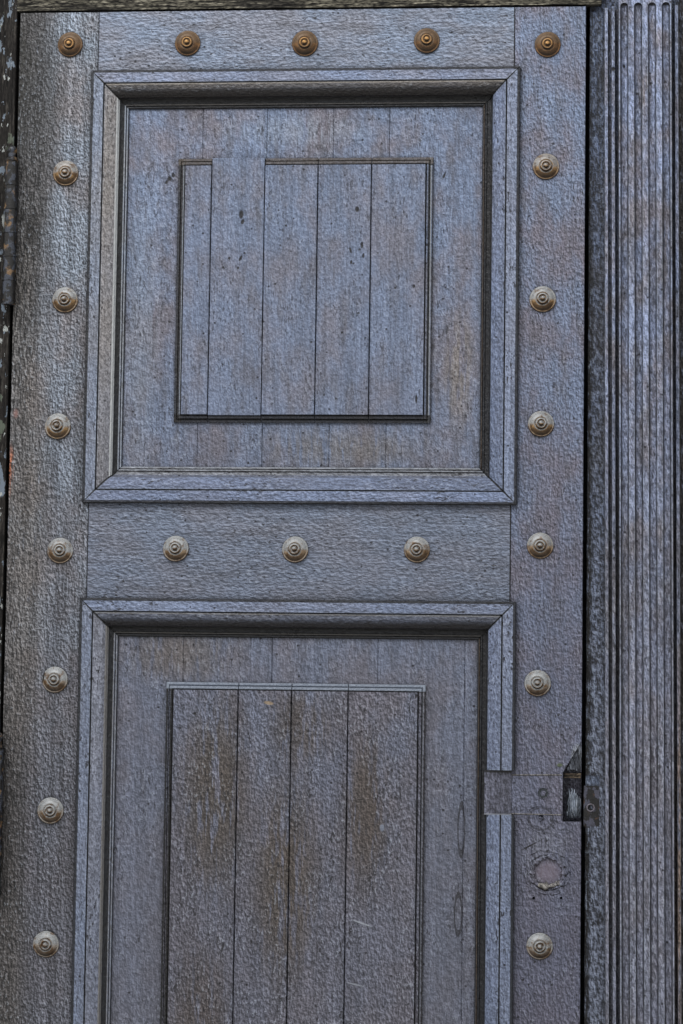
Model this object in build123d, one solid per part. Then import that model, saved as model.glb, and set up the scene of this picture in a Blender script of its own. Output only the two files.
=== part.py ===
import os

from build123d import *

# An old panelled street door of one leaf, hung in its timber frame.
# Millimetres, +Z up, +X to the right seen from the street, the street side faces -Y.
# X = 0 is the middle of the leaf, Y = 0 its outer face, Z = 0 the underside of the sill.

# Driving dimensions of the leaf
leaf_width = 756.0
leaf_height = 2160.0
leaf_thickness = 50.0
hinge_stile_width = 107.0
lock_stile_width = 93.0
top_rail_height = 88.0
middle_rail_height = 140.0
bottom_rail_height = 142.5
upper_panel_share = 0.2611
worn_arris = 0.7

# Running gaps round the leaf
hinge_gap = 4.5
lock_gap = 5.0
head_gap = 3.0
sill_gap = 5.0
stop_gap = 2.0

# Mortise and tenon joints of the leaf
tenon_thickness = 16.0
tenon_length = 70.0
tenon_haunch = 14.0

# Mitred bolection mouldings: section measured inward from the outer edge and out from the leaf
moulding_lap = 7.5
moulding_flat_width = 17.2
moulding_flat_rise = 6.8
moulding_quirk = 1.2
moulding_quirk_depth = 2.2
moulding_undercut_width = 2.2
moulding_undercut_height = 1.4
band_width = 17.1
band_drop = 8.6
band_swell = 2.0
band_arris = 2.4
cove_width = 7.5
bead_width = 3.1
bead_rise = 1.3
bead_step = 0.5
moulding_edge = 0.4
moulding_edge_rise = 1.2
moulding_back_depth = 44.0
mitre_opening = 0.4
tongue_thickness = 12.0
tongue_depth = 10.0
tongue_from_face = 18.0

# Panel boards, held in the grooves of the mouldings: widths as shares of the panel, the last takes the rest
panel_recess = 12.0
board_thickness = 18.0
groove_depth = 11.0
groove_slack = 1.0
board_arris = 0.8
upper_board_shares = (0.223, 0.175, 0.18, 0.152)
lower_board_shares = (0.196, 0.238, 0.282, 0.23)

# Raised fields of narrower planks, nailed on the boards, with their widths as shares of the field
field_side_margin = 66.2
field_margin_by_rails = (68.0, 59.0)
field_off_centre = (1.8, -1.0)
field_rise = 8.0
field_fillet_width = 3.1
field_fillet_rise = 2.7
field_groove_width = 1.9
field_groove_depth = 2.3
plank_gap = 1.2
upper_plank_shares = (0.134, 0.209, 0.209, 0.209)
lower_plank_shares = (0.281, 0.206, 0.218)
new_plank = 2
new_plank_thickness = 7.4
new_plank_foot = 9.0

# Turned brass studs on square shanks
stud_radius = 17.5
stud_rim_height = 2.4
stud_shoulder_radius = 15.8
stud_shoulder_height = 6.4
stud_swell = 1.1
stud_boss_radius = 7.5
stud_boss_height = 9.0
stud_nipple_radius = 3.0
stud_nipple_height = 12.0
stud_shank = 5.0
stud_shank_length = 40.0
shank_slack = 0.1
stud_rows = 13
stud_first_row = 45.0
stud_last_row = 67.0
hinge_column_inset = 67.5
lock_column_inset = 53.0
rail_studs_top = 44.0
middle_studs_raised = 3.0
rail_stud_shares = (-0.2, 0.008, 0.22)
lost_stud_row = 6

# The studs were set by eye: how far each one strays right and down from its even place
hinge_column_strays = (
    (1.5, -1.0), (-0.5, 3.0), (2.5, 3.0), (-3.5, 1.0), (3.5, -5.0), (0.5, -6.0), (-1.5, -6.0),
    (-3.5, -4.0), (0.0, -4.0), (1.0, -3.0), (-1.0, -2.0), (0.5, 0.0), (0.0, 1.0),
)
lock_column_strays = (
    (3.0, 6.0), (2.0, -2.0), (-1.0, 3.0), (-2.0, -4.0), (-2.0, -16.0), (-4.0, -9.0), (1.5, -8.0),
    (1.0, -15.0), (0.0, -12.0), (-1.5, -10.0), (1.0, -7.0), (0.0, -4.0), (1.0, -2.0),
)
top_rail_strays = ((1.0, 0.0), (1.0, 2.0), (2.5, 0.0))
middle_rail_strays = ((-2.0, 0.0), (-2.0, 0.0), (-3.0, -1.0))
bottom_rail_strays = ((0.0, 1.0), (1.0, 0.0), (-1.0, 1.0))

# Repairs and damage by the old lock: the patch is measured down from the top of the leaf,
# the other places up or down from the top of the patch
lock_repair_top = 1007.0
lock_repair_height = 50.0
patch_thickness = 12.0
patch_clearance = 0.1
insert_above_patch = 5.5
insert_height = 57.0
insert_width = 35.0
insert_outer_step = 3.8
insert_rise = 1.0
notch_width = 24.0
notch_above_patch = 4.5
notch_height = 63.5
notch_depth = 30.0
break_height = 42.0
break_depth = 9.0
patch_plug_radius = 4.0
patch_plug_sunk = 0.8
patch_plug_inset = 49.0
patch_plug_below = 23.0
rose_scar_radius = 22.0
rose_scar_inset = 42.0
rose_scar_below = 126.0
rose_scar_depth = 1.6
rose_screw_radius = 1.8
rose_screw_depth = 14.0
rose_screw_places = ((-3.0, 22.5), (28.0, 3.0), (-27.0, 6.0), (-18.0, -31.0), (17.0, -30.0))

# Frame
jamb_width = 95.0
post_width = 132.0
frame_depth = 100.0
post_recess = 12.0
head_height = 75.0
head_lap = 15.0
stop_thickness = 16.5
frame_tenon_thickness = 30.0
frame_tenon_length = 40.0
sill_height = 40.0
sill_front = 45.0
sill_back = 10.0
sill_step = 18.0
sill_nosing = 6.0

# Fluted pilaster planted on the post: widths from left to right, fronts measured out from Y = 0
pilaster_setback = 19.0
pilaster_lean = 0.35
outer_fillet_width = 5.0
outer_fillet_front = 3.0
quirk_width = 4.0
quirk_front = -5.0
inner_fillet_width = 5.0
inner_fillet_front = 9.0
shaft_width = 69.0
shaft_front = 22.0
flute_count = 4
flute_pitch = 18.0
flute_radius = 5.4
flute_centre_out = 0.6
flute_top_margin = 5.0
flute_foot_margin = 160.0
fillet_top_margin = 6.0

# Keeper of the lost lock, let into the post
keeper_width = 20.0
keeper_height = 52.0
keeper_thickness = 2.0
keeper_below_patch_top = 13.0
keeper_overhang = 2.0
keeper_hole_radius = 3.2
keeper_hole_down = 28.0
keeper_hole_across = 9.0
packing_height = 13.5
packing_thickness = 3.0
packing_setback = 0.5

# Barrel hinges outside the leaf
hinge_names = ("top", "middle", "bottom")
hinge_top = 205.0
barrel_radius = 8.0
barrel_clear = 1.0
knuckle_count = 6
knuckle_length = 32.0
knuckle_gap = 0.3
ring_radius = 8.8
ring_height = 2.6
pin_radius = 4.5
pin_clearance = 0.05
plate_thickness = 2.2
plate_width = 38.0
finial_neck_radius = 5.0
finial_ball_radius = 6.5
finial_collar_radius = 8.4
finial_collar_height = 7.0
finial_neck_height = 5.0
screw_shank_radius = 2.2
screw_head_radius = 4.2
screw_length = 28.0
screw_clearance = 0.15
screws_per_plate = 3
screw_inset = 20.0

# Places worked out from the sizes above
leaf_left = -leaf_width / 2
leaf_right = leaf_width / 2
leaf_bottom = sill_height + sill_gap
leaf_top = leaf_bottom + leaf_height
moulding_width = (
    moulding_flat_width + moulding_quirk + band_width + cove_width + 2 * bead_width + moulding_edge
)
frame_underside = leaf_top + head_gap
frame_top = frame_underside + head_height
jamb_face = leaf_left - hinge_gap
post_face = leaf_right + lock_gap
frame_left = jamb_face - jamb_width
frame_right = post_face + post_width
stop_front = leaf_thickness + stop_gap
upper_panel_height = upper_panel_share * leaf_height
rail_studs_middle = top_rail_height + upper_panel_height + middle_rail_height / 2 - middle_studs_raised
opening_left = leaf_left + hinge_stile_width
opening_right = leaf_right - lock_stile_width
upper_opening_top = leaf_top - top_rail_height
upper_opening_foot = upper_opening_top - upper_panel_height
lower_opening_top = upper_opening_foot - middle_rail_height
lower_opening_foot = leaf_bottom + bottom_rail_height
hinge_column_x = leaf_left + hinge_column_inset
lock_column_x = leaf_right - lock_column_inset
stud_pitch = (leaf_height - stud_first_row - stud_last_row) / (stud_rows - 1)
insert_top = lock_repair_top - insert_above_patch
notch_top = lock_repair_top - notch_above_patch
rose_scar_x = leaf_right - rose_scar_inset
rose_scar_down = lock_repair_top + rose_scar_below
keeper_top = lock_repair_top + keeper_below_patch_top
keeper_left = post_face - keeper_overhang
packing_left = post_face + packing_setback
pilaster_left = post_face + pilaster_setback
hinge_axis_x = jamb_face
hinge_axis_y = -(barrel_radius + barrel_clear)
barrel_length = knuckle_count * knuckle_length


def block(x_span, y_span, z_span):
    spans = (x_span, y_span, z_span)
    middle = [(low + high) / 2 for low, high in spans]
    size = [high - low for low, high in spans]
    return Pos(*middle) * Box(*size)


def down(distance):
    # Height of a point that lies this far below the top of the leaf
    return leaf_top - distance


def arrised(body, axis=Axis.Z, size=worn_arris):
    # The front long edges of a timber, worn back a little
    front = body.edges().filter_by(axis).group_by(Axis.Y)[0]
    return chamfer(front, size)


# Studs

def column_places(column_x, strays):
    places = []
    for row, (right, lower) in enumerate(strays):
        places.append((column_x + right, down(stud_first_row + row * stud_pitch + lower)))
    return places


def hinge_column():
    return column_places(hinge_column_x, hinge_column_strays)


def lock_column():
    return column_places(lock_column_x, lock_column_strays)


def stile_stud_places():
    kept = [place for row, place in enumerate(lock_column()) if row != lost_stud_row]
    return hinge_column() + kept


def rail_stud_places():
    rows = (
        (rail_studs_top, top_rail_strays),
        (rail_studs_middle, middle_rail_strays),
        (leaf_height - stud_last_row, bottom_rail_strays),
    )
    places = []
    for row_down, strays in rows:
        for share, (right, lower) in zip(rail_stud_shares, strays):
            places.append((share * leaf_width + right, down(row_down + lower)))
    return places


def stud():
    # Outer face of the leaf is z = 0 here, the head stands up in z, the shank runs down
    with BuildSketch(Plane.XZ) as section:
        with BuildLine():
            Polyline(
                (0, 0),
                (stud_radius, 0),
                (stud_radius, stud_rim_height * 0.6),
                (stud_radius - stud_rim_height * 0.4, stud_rim_height),
                (stud_shoulder_radius, stud_rim_height),
            )
            ThreePointArc(
                (stud_shoulder_radius, stud_rim_height),
                (
                    (stud_shoulder_radius + stud_boss_radius) / 2,
                    (stud_rim_height + stud_shoulder_height) / 2 + stud_swell,
                ),
                (stud_boss_radius, stud_shoulder_height),
            )
            Polyline(
                (stud_boss_radius, stud_shoulder_height),
                (stud_boss_radius, stud_boss_height),
                (stud_nipple_radius, stud_boss_height),
                (stud_nipple_radius, stud_nipple_height),
                (0, stud_nipple_height),
                (0, 0),
            )
        make_face()
    head = revolve(section.sketch, Axis.Z)
    shank = Pos(0, 0, -stud_shank_length / 2) * Box(stud_shank, stud_shank, stud_shank_length)
    return head + shank


def studs_at(places):
    one = Rot(90, 0, 0) * stud()
    return Compound([Pos(x, 0, z) * one for x, z in places])


def shank_holes(places):
    side = stud_shank + 2 * shank_slack
    length = stud_shank_length + 1
    return [block((x - side / 2, x + side / 2), (0, length), (z - side / 2, z + side / 2)) for x, z in places]


# Stiles and rails

def tenon_span(low, high):
    return (low + tenon_haunch, high - tenon_haunch)


def rail_tenons(low, high, reach):
    # Both tenons of a rail, as long as reach beyond its shoulders
    middle = leaf_thickness / 2
    thickness = (middle - tenon_thickness / 2, middle + tenon_thickness / 2)
    return block((opening_left - reach, opening_right + reach), thickness, tenon_span(low, high))


def rail_heights():
    return (
        (upper_opening_top, leaf_top),
        (lower_opening_top, upper_opening_foot),
        (leaf_bottom, lower_opening_foot),
    )


def tongue_span():
    return (tongue_from_face, tongue_from_face + tongue_thickness)


def panel_openings():
    return ((upper_opening_foot, upper_opening_top), (lower_opening_foot, lower_opening_top))


def tongues(low, high):
    # The four grooves round one panel opening are as deep as the tongues of its mouldings
    upright = block(
        (opening_left - tongue_depth, opening_right + tongue_depth), tongue_span(), (low, high)
    )
    across = block((opening_left, opening_right), tongue_span(), (low - tongue_depth, high + tongue_depth))
    return [upright, across]


def stile(x_span, column):
    body = arrised(block(x_span, (0, leaf_thickness), (leaf_bottom, leaf_top)))
    for low, high in rail_heights():
        body -= rail_tenons(low, high, tenon_length)
    for low, high in panel_openings():
        body -= tongues(low, high)[0]
    for hole in shank_holes(column):
        body -= hole
    return body


def hinge_stile():
    body = stile((leaf_left, opening_left), hinge_column())
    for top in hinge_tops():
        body -= block(
            (leaf_left - 1, leaf_left + plate_thickness), (-1, plate_width), (top - barrel_length, top)
        )
        body -= screw_set(top, leaf_left + plate_thickness, 1, screw_clearance)
    return body


def lock_stile():
    body = stile((opening_right, leaf_right), lock_column())
    body -= patch_span(0)
    body -= insert_housing(insert_span()[0][1])
    # Notch torn out of the edge where the lock was, and the slanting break above it
    notch = down(notch_top)
    left = leaf_right - notch_width
    body -= block((left, leaf_right + 1), (-1, notch_depth), (notch - notch_height, notch))
    with BuildSketch(Plane.YZ.offset(left)) as slope:
        with BuildLine():
            Polyline(
                (-1, notch - 1), (-1, notch + break_height), (0, notch + break_height), (break_depth, notch - 1)
            )
            Line((break_depth, notch - 1), (-1, notch - 1))
        make_face()
    wedge = extrude(slope.sketch, notch_width + 1)
    with BuildSketch(Plane.XZ) as corner:
        with BuildLine():
            Polyline((left, notch - 1), (leaf_right + 1, notch - 1), (leaf_right + 1, notch + break_height))
            Line((leaf_right + 1, notch + break_height), (left, notch - 1))
        make_face()
    body -= wedge & extrude(corner.sketch, leaf_thickness, both=True)
    # Ghost of a round rose with its screw holes
    scar = Pos(rose_scar_x, rose_scar_depth / 2, down(rose_scar_down)) * Rot(90, 0, 0)
    body -= scar * Cylinder(rose_scar_radius, rose_scar_depth)
    for x, z in rose_screw_places:
        place = Pos(rose_scar_x + x, rose_screw_depth / 2, down(rose_scar_down) + z) * Rot(90, 0, 0)
        body -= place * Cylinder(rose_screw_radius, rose_screw_depth)
    return body


def patch_span(clearance):
    # Flush board let into the lock stile over the place of the old lock
    top = down(lock_repair_top)
    right = leaf_right - notch_width
    return block(
        (opening_right + clearance, right),
        (0, patch_thickness),
        (top - lock_repair_height + clearance, top - clearance),
    )


def stile_patch():
    body = patch_span(patch_clearance) - insert_housing(insert_span()[0][1])
    return body - patch_hole(0, patch_clearance)


def patch_hole(sunk, clearance):
    # Round hole right through the patch, and with sunk above zero the plug that fills it
    depth = patch_thickness - sunk
    middle = Pos(leaf_right - patch_plug_inset, sunk + depth / 2, down(lock_repair_top + patch_plug_below))
    return middle * Rot(90, 0, 0) * Cylinder(patch_plug_radius + clearance, depth)


def rail(low, high):
    middle = arrised(block((opening_left, opening_right), (0, leaf_thickness), (low, high)))
    body = middle + rail_tenons(low, high, tenon_length)
    for opening in panel_openings():
        body -= tongues(*opening)[1]
    places = [(x, z) for x, z in stile_stud_places() + rail_stud_places() if low < z < high]
    for hole in shank_holes(places):
        body -= hole
    return body


# Mouldings

def moulding_section():
    # x runs inward from the outer edge, y is depth from the face of the leaf: a flat, undercut where it
    # laps the stile, its quirk, a swelling band that falls to an arris, a cove, and two beads
    flat = -moulding_flat_rise
    band_start = moulding_flat_width + moulding_quirk
    band_end = band_start + band_width
    band_foot = flat + band_drop
    bead_start = band_end + cove_width
    second_bead = bead_start + bead_width
    beads_end = second_bead + bead_width
    bead_foot = panel_recess - moulding_edge_rise - bead_rise
    cove_top = band_foot + band_arris
    cove_middle = (band_end + cove_width * 0.3, bead_foot - (bead_foot - cove_top) * 0.3)
    groove_end = panel_recess + board_thickness
    with BuildSketch(Plane.XY) as section:
        with BuildLine():
            Polyline(
                (moulding_lap, 0),
                (moulding_undercut_width, 0),
                (moulding_undercut_width, -moulding_undercut_height),
                (0, -moulding_undercut_height),
                (0, flat + 1.6),
                (1.0, flat + 0.4),
                (moulding_flat_width, flat),
                (moulding_flat_width + moulding_quirk / 2, flat + moulding_quirk_depth),
                (band_start, flat + 0.2),
            )
            ThreePointArc(
                (band_start, flat + 0.2),
                (band_start + band_width / 2, flat + band_drop / 2 - band_swell),
                (band_end, band_foot),
            )
            Line((band_end, band_foot), (band_end + 0.3, cove_top))
            ThreePointArc((band_end + 0.3, cove_top), cove_middle, (bead_start, bead_foot))
            ThreePointArc(
                (bead_start, bead_foot),
                (bead_start + bead_width / 2, bead_foot - bead_rise),
                (second_bead, bead_foot + bead_step),
            )
            ThreePointArc(
                (second_bead, bead_foot + bead_step),
                (second_bead + bead_width / 2, bead_foot + bead_step - bead_rise),
                (beads_end, bead_foot + 2 * bead_step),
            )
            Polyline(
                (beads_end, bead_foot + 2 * bead_step),
                (moulding_width, panel_recess - moulding_edge_rise),
                (moulding_width, panel_recess),
                (moulding_width - groove_depth, panel_recess),
                (moulding_width - groove_depth, groove_end),
                (moulding_width, groove_end),
                (moulding_width, groove_end + 4.0),
                (moulding_width - 8.0, moulding_back_depth),
                (moulding_lap, moulding_back_depth),
                (moulding_lap, 0),
            )
        make_face()
    return section.sketch


def mitred_run(length, tongue_length):
    # Outer edge on x = 0, standing upright about z = 0, both ends mitred
    section = moulding_section()
    run = extrude(section, length / 2, both=True)
    inner = length / 2 - moulding_width
    with BuildSketch(Plane.XZ) as outline:
        with BuildLine():
            Polyline(
                (0, -length / 2 + mitre_opening),
                (moulding_width, -inner + mitre_opening),
                (moulding_width, inner - mitre_opening),
                (0, length / 2 - mitre_opening),
            )
            Line((0, length / 2 - mitre_opening), (0, -length / 2 + mitre_opening))
        make_face()
    run = run & extrude(outline.sketch, leaf_thickness * 2, both=True)
    half = tongue_length / 2
    tongue = block((moulding_lap - tongue_depth, moulding_lap), tongue_span(), (-half, half))
    return run + tongue


def moulding_frame(prefix, low, high):
    # Four mitred runs round one opening, lapping over the stiles and rails
    left = opening_left - moulding_lap
    right = opening_right + moulding_lap
    foot = low - moulding_lap
    top = high + moulding_lap
    middle_x = (left + right) / 2
    middle_z = (foot + top) / 2
    upright = mitred_run(top - foot, high - low)
    across = mitred_run(right - left, opening_right - opening_left)
    return {
        prefix + "_moulding_left": Pos(left, 0, middle_z) * upright,
        prefix + "_moulding_right": Pos(right, 0, middle_z) * Rot(0, 0, 180) * Rot(180, 0, 0) * upright,
        prefix + "_moulding_top": Pos(middle_x, 0, top) * Rot(0, 90, 0) * across,
        prefix + "_moulding_bottom": Pos(middle_x, 0, foot) * Rot(0, -90, 0) * across,
    }


def insert_span():
    right = opening_right + moulding_lap - insert_outer_step
    top = down(insert_top)
    return (right - insert_width, right), (top - insert_height, top)


def insert_housing(outer):
    # Cut for the inset block, as wide as the block in the stile and right through the moulding
    x_span, z_span = insert_span()
    return block((x_span[0], outer), (-moulding_flat_rise - 1, patch_thickness), z_span)


def moulding_insert():
    x_span, z_span = insert_span()
    return arrised(block(x_span, (-insert_rise, patch_thickness), z_span))


# Panel boards and field planks

def cut_positions(start, shares, end):
    edges = [start]
    for share in shares:
        edges.append(edges[-1] + share * (end - start))
    return list(zip(edges, edges[1:] + [end]))


def panel_boards(prefix, low, high, shares):
    inset = moulding_width - moulding_lap - groove_depth + groove_slack
    left = opening_left + inset
    right = opening_right - inset
    depth = (panel_recess, panel_recess + board_thickness)
    boards = {}
    for number, span in enumerate(cut_positions(left, shares, right), start=1):
        board = block(span, depth, (low + inset, high - inset))
        boards[f"{prefix}_board_{number}"] = arrised(board, size=board_arris)
    return boards


def field_solid(x_span, z_span):
    # Raised field: two narrow fillets step up to the face all round, with a fine groove at each step
    middle = ((x_span[0] + x_span[1]) / 2, (z_span[0] + z_span[1]) / 2)
    width = x_span[1] - x_span[0]
    height = z_span[1] - z_span[0]

    def layer(inset, rise):
        plane = Plane(origin=(middle[0], panel_recess - rise, middle[1]), x_dir=(1, 0, 0), z_dir=(0, -1, 0))
        return plane * Rectangle(width - 2 * inset, height - 2 * inset)

    step = field_fillet_width + field_groove_width
    body = extrude(layer(0, 0), field_fillet_rise)
    body += extrude(layer(step, 0), 2 * field_fillet_rise)
    body += extrude(layer(2 * step, 0), field_rise)
    for number in (1, 2):
        inset = number * step
        floor = number * field_fillet_rise - field_groove_depth
        ring = layer(inset - field_groove_width, floor) - layer(inset, floor)
        body -= extrude(ring, field_groove_depth)
    return body


def field_spans(opening, low, high):
    # The fields sit a little off the centre of their panels; opening 0 is the upper one
    inset = moulding_width - moulding_lap
    shift = field_off_centre[opening]
    by_top = field_margin_by_rails[opening]
    by_foot = field_margin_by_rails[1 - opening]
    side = inset + field_side_margin
    x_span = (opening_left + side + shift, opening_right - side + shift)
    return x_span, (low + inset + by_foot, high - inset - by_top)


def field_planks(prefix, opening, low, high, shares):
    x_span, z_span = field_spans(opening, low, high)
    whole = field_solid(x_span, z_span)
    planks = {}
    for number, span in enumerate(cut_positions(x_span[0], shares, x_span[1]), start=1):
        inner = [x + gap for x, gap in zip(span, (plank_gap / 2, -plank_gap / 2))]
        if number == 1:
            inner[0] = span[0]
        if number == len(shares) + 1:
            inner[1] = span[1]
        plank = whole & block(inner, (0, panel_recess), z_span)
        if opening == 0 and number == new_plank:
            # The newer plank is plain and stops above what is left of the old moulded foot
            foot = z_span[0] + new_plank_foot
            old_foot = plank & block(inner, (0, panel_recess), (z_span[0], foot))
            plank = old_foot + block(inner, (panel_recess - new_plank_thickness, panel_recess), (foot, z_span[1]))
        planks[f"{prefix}_plank_{number}"] = plank - seam_cuts(inner, z_span, x_span)
    return planks


def seam_cuts(span, z_span, x_span):
    # V joint between two planks: a square bar on edge along each inner side
    side = board_arris * 2 ** 0.5
    face = panel_recess - field_rise
    cuts = []
    for x in span:
        if x not in x_span:
            bar = Pos(x, face, (z_span[0] + z_span[1]) / 2) * Rot(0, 0, 45)
            cuts.append(bar * Box(side, side, z_span[1] - z_span[0] + 2))
    return cuts


# Frame

def sill():
    front = -sill_front
    back = frame_depth + sill_back
    with BuildSketch(Plane.YZ) as section:
        with BuildLine():
            Polyline(
                (front, 0),
                (back, 0),
                (back, sill_height + sill_step),
                (stop_front, sill_height + sill_step),
                (stop_front, sill_height),
                (front + sill_nosing, sill_height),
            )
            RadiusArc((front + sill_nosing, sill_height), (front, sill_height - sill_nosing), -sill_nosing)
            Line((front, sill_height - sill_nosing), (front, 0))
        make_face()
    body = Pos(frame_left, 0, 0) * extrude(section.sketch, frame_right - frame_left)
    # Seats of the jamb and the post are cut down through the raised back
    for x_span in ((frame_left - 1, jamb_face), (post_face, frame_right + 1)):
        body -= block(x_span, (stop_front, back + 1), (sill_height, sill_height + sill_step + 1))
    return body


def head_tenons(reach):
    middle = frame_depth / 2
    thickness = (middle - frame_tenon_thickness / 2, middle + frame_tenon_thickness / 2)
    haunch = tenon_haunch
    return block(
        (jamb_face - reach, post_face + reach), thickness, (frame_underside + haunch, frame_top - haunch)
    )


def left_jamb():
    body = arrised(block((frame_left, jamb_face), (0, frame_depth), (sill_height, frame_top)))
    body -= head_tenons(frame_tenon_length)
    for top in hinge_tops():
        body -= block(
            (jamb_face - plate_thickness, jamb_face + 1), (-1, plate_width), (top - barrel_length, top)
        )
        body -= screw_set(top, jamb_face - plate_thickness, -1, screw_clearance)
    return body


def right_post():
    body = arrised(block((post_face, frame_right), (post_recess, frame_depth), (sill_height, frame_top)))
    body -= head_tenons(frame_tenon_length)
    body -= block(
        (post_face - 1, post_face + head_lap),
        (0, post_recess + worn_arris),
        (frame_underside, frame_top + 1),
    )
    top = down(keeper_top)
    body -= block(
        (post_face - 1, keeper_left + keeper_width),
        (0, post_recess + keeper_thickness),
        (top - keeper_height, top),
    )
    body -= block(
        (post_face - 1, keeper_left + keeper_width),
        (0, post_recess + packing_thickness),
        (top, top + packing_height),
    )
    return body


def head():
    body = block((jamb_face, post_face), (0, frame_depth), (frame_underside, frame_top))
    body += head_tenons(frame_tenon_length)
    body += block(
        (post_face, post_face + head_lap), (0, post_recess + worn_arris), (frame_underside, frame_top)
    )
    return body


def stops():
    depth = (stop_front, frame_depth)
    foot = sill_height + sill_step
    return {
        "left_stop": block((jamb_face, jamb_face + stop_thickness), depth, (foot, frame_underside)),
        "right_stop": block((post_face - stop_thickness, post_face), depth, (foot, frame_underside)),
        "head_stop": block(
            (jamb_face + stop_thickness, post_face - stop_thickness),
            depth,
            (frame_underside - stop_thickness, frame_underside),
        ),
    }


def pilaster():
    # Stepped section from left to right: fillet, quirk, fillet, quirk, fluted shaft, quirk, fillet
    steps = (
        (outer_fillet_width, outer_fillet_front),
        (quirk_width, quirk_front),
        (inner_fillet_width, inner_fillet_front),
        (quirk_width, quirk_front),
        (shaft_width, shaft_front),
        (quirk_width, quirk_front),
        (inner_fillet_width, inner_fillet_front),
    )
    height = frame_top - sill_height
    x = pilaster_left
    body = None
    for width, front in steps:
        low_part = front < shaft_front
        top = frame_underside - fillet_top_margin if low_part else frame_top + height * 0.01
        foot = sill_height - height * 0.01
        piece = block((x, x + width), (-front, post_recess), (foot, top))
        if front > 0:
            piece = arrised(piece)
        if front == shaft_front:
            shaft_middle = x + width / 2
        body = piece if body is None else body + piece
        x += width
    foot = sill_height + flute_foot_margin
    top = frame_underside - flute_top_margin
    for number in range(flute_count):
        flute_x = shaft_middle + (number - (flute_count - 1) / 2) * flute_pitch
        body -= flute(flute_x, foot, top)
    lean = Pos(pilaster_left, 0, leaf_top) * Rot(0, -pilaster_lean, 0) * Pos(-pilaster_left, 0, -leaf_top)
    return (lean * body) & block((leaf_right, frame_right), (-leaf_width, post_recess), (sill_height, frame_top))


def flute(x, foot, top):
    # Round-ended flute: a round bar with a ball at each end, its axis just in front of the shaft
    y = -shaft_front - flute_centre_out
    bar = Pos(x, y, (foot + top) / 2) * Cylinder(flute_radius, top - foot - 2 * flute_radius)
    upper_ball = Pos(x, y, top - flute_radius) * Sphere(flute_radius)
    lower_ball = Pos(x, y, foot + flute_radius) * Sphere(flute_radius)
    return bar + upper_ball + lower_ball


def keeper():
    top = down(keeper_top)
    depth = (post_recess, post_recess + keeper_thickness)
    body = block((keeper_left, keeper_left + keeper_width), depth, (top - keeper_height, top))
    hole = Pos(keeper_left + keeper_hole_across, sum(depth) / 2, top - keeper_hole_down) * Rot(90, 0, 0)
    return body - hole * Cylinder(keeper_hole_radius, keeper_thickness)


def keeper_packing():
    top = down(keeper_top)
    depth = (post_recess + 1.0, post_recess + packing_thickness)
    return block((packing_left, keeper_left + keeper_width), depth, (top, top + packing_height))


# Hinges

def hinge_tops():
    # Upper end of each barrel: top and bottom alike, the middle one halfway
    first = down(hinge_top)
    last = leaf_bottom + hinge_top + barrel_length
    return (first, (first + last) / 2, last)


def knuckles(first, plate_side, top):
    # Every second knuckle from the top, with its web back to the plate
    body = None
    for number in range(first, knuckle_count, 2):
        high = top - number * knuckle_length
        length = knuckle_length - knuckle_gap
        middle = Pos(hinge_axis_x, hinge_axis_y, high - length / 2)
        knuckle = middle * Cylinder(barrel_radius, length)
        ring = Pos(hinge_axis_x, hinge_axis_y, high - length + ring_height / 2)
        knuckle += ring * Cylinder(ring_radius, ring_height)
        knuckle += block(plate_side, (hinge_axis_y, 1), (high - length, high))
        body = knuckle if body is None else body + knuckle
    return body


def hinge_plate(first, plate_side, top):
    body = block(plate_side, (0, plate_width), (top - barrel_length, top))
    body += knuckles(first, plate_side, top)
    bore = Pos(hinge_axis_x, hinge_axis_y, top - barrel_length / 2)
    return body - bore * Cylinder(pin_radius + pin_clearance, barrel_length + 2)


def screw_places(top):
    step = (barrel_length - 2 * screw_inset) / (screws_per_plate - 1)
    return [top - screw_inset - number * step for number in range(screws_per_plate)]


def screw_set(top, face_x, direction, clearance):
    # Shanks in the wood behind one plate, pointing along X
    shanks = []
    for z in screw_places(top):
        middle = Pos(face_x + direction * screw_length / 2, plate_width * 0.6, z) * Rot(0, 90, 0)
        shanks.append(middle * Cylinder(screw_shank_radius + clearance, screw_length))
    return shanks


def plate_screws(face_x, direction):
    # Countersunk screws, their heads flush with the plates
    screws = []
    for top in hinge_tops():
        for z in screw_places(top):
            screws.append(plate_screw(face_x, direction, z, 0))
    return Compound(screws)


def plate_screw(face_x, direction, z, clearance):
    place = Pos(face_x, plate_width * 0.6, z) * Rot(0, 90 * direction, 0)
    cone = Cone(
        screw_head_radius + clearance, screw_shank_radius + clearance, plate_thickness,
        align=(Align.CENTER, Align.CENTER, Align.MIN),
    )
    shank = Pos(0, 0, plate_thickness) * Cylinder(
        screw_shank_radius + clearance, screw_length, align=(Align.CENTER, Align.CENTER, Align.MIN)
    )
    return place * (cone + shank)


def hinge_pin(top):
    # Pin with its turned finial: collar, neck and ball
    radius = finial_collar_radius
    ball_base = finial_collar_height + finial_neck_height
    ball_middle = ball_base + (finial_ball_radius ** 2 - finial_neck_radius ** 2) ** 0.5
    ball_top = ball_middle + finial_ball_radius
    with BuildSketch(Plane.XZ) as section:
        with BuildLine():
            Polyline(
                (0, -barrel_length),
                (pin_radius, -barrel_length),
                (pin_radius, knuckle_gap),
                (radius - 1.4, knuckle_gap),
                (radius, finial_collar_height * 0.35),
                (radius, finial_collar_height * 0.65),
                (finial_neck_radius, finial_collar_height),
                (finial_neck_radius, ball_base),
            )
            ThreePointArc(
                (finial_neck_radius, ball_base), (finial_ball_radius, ball_middle), (0, ball_top)
            )
            Line((0, ball_top), (0, -barrel_length))
        make_face()
    return Pos(hinge_axis_x, hinge_axis_y, top) * revolve(section.sketch, Axis.Z)


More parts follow.
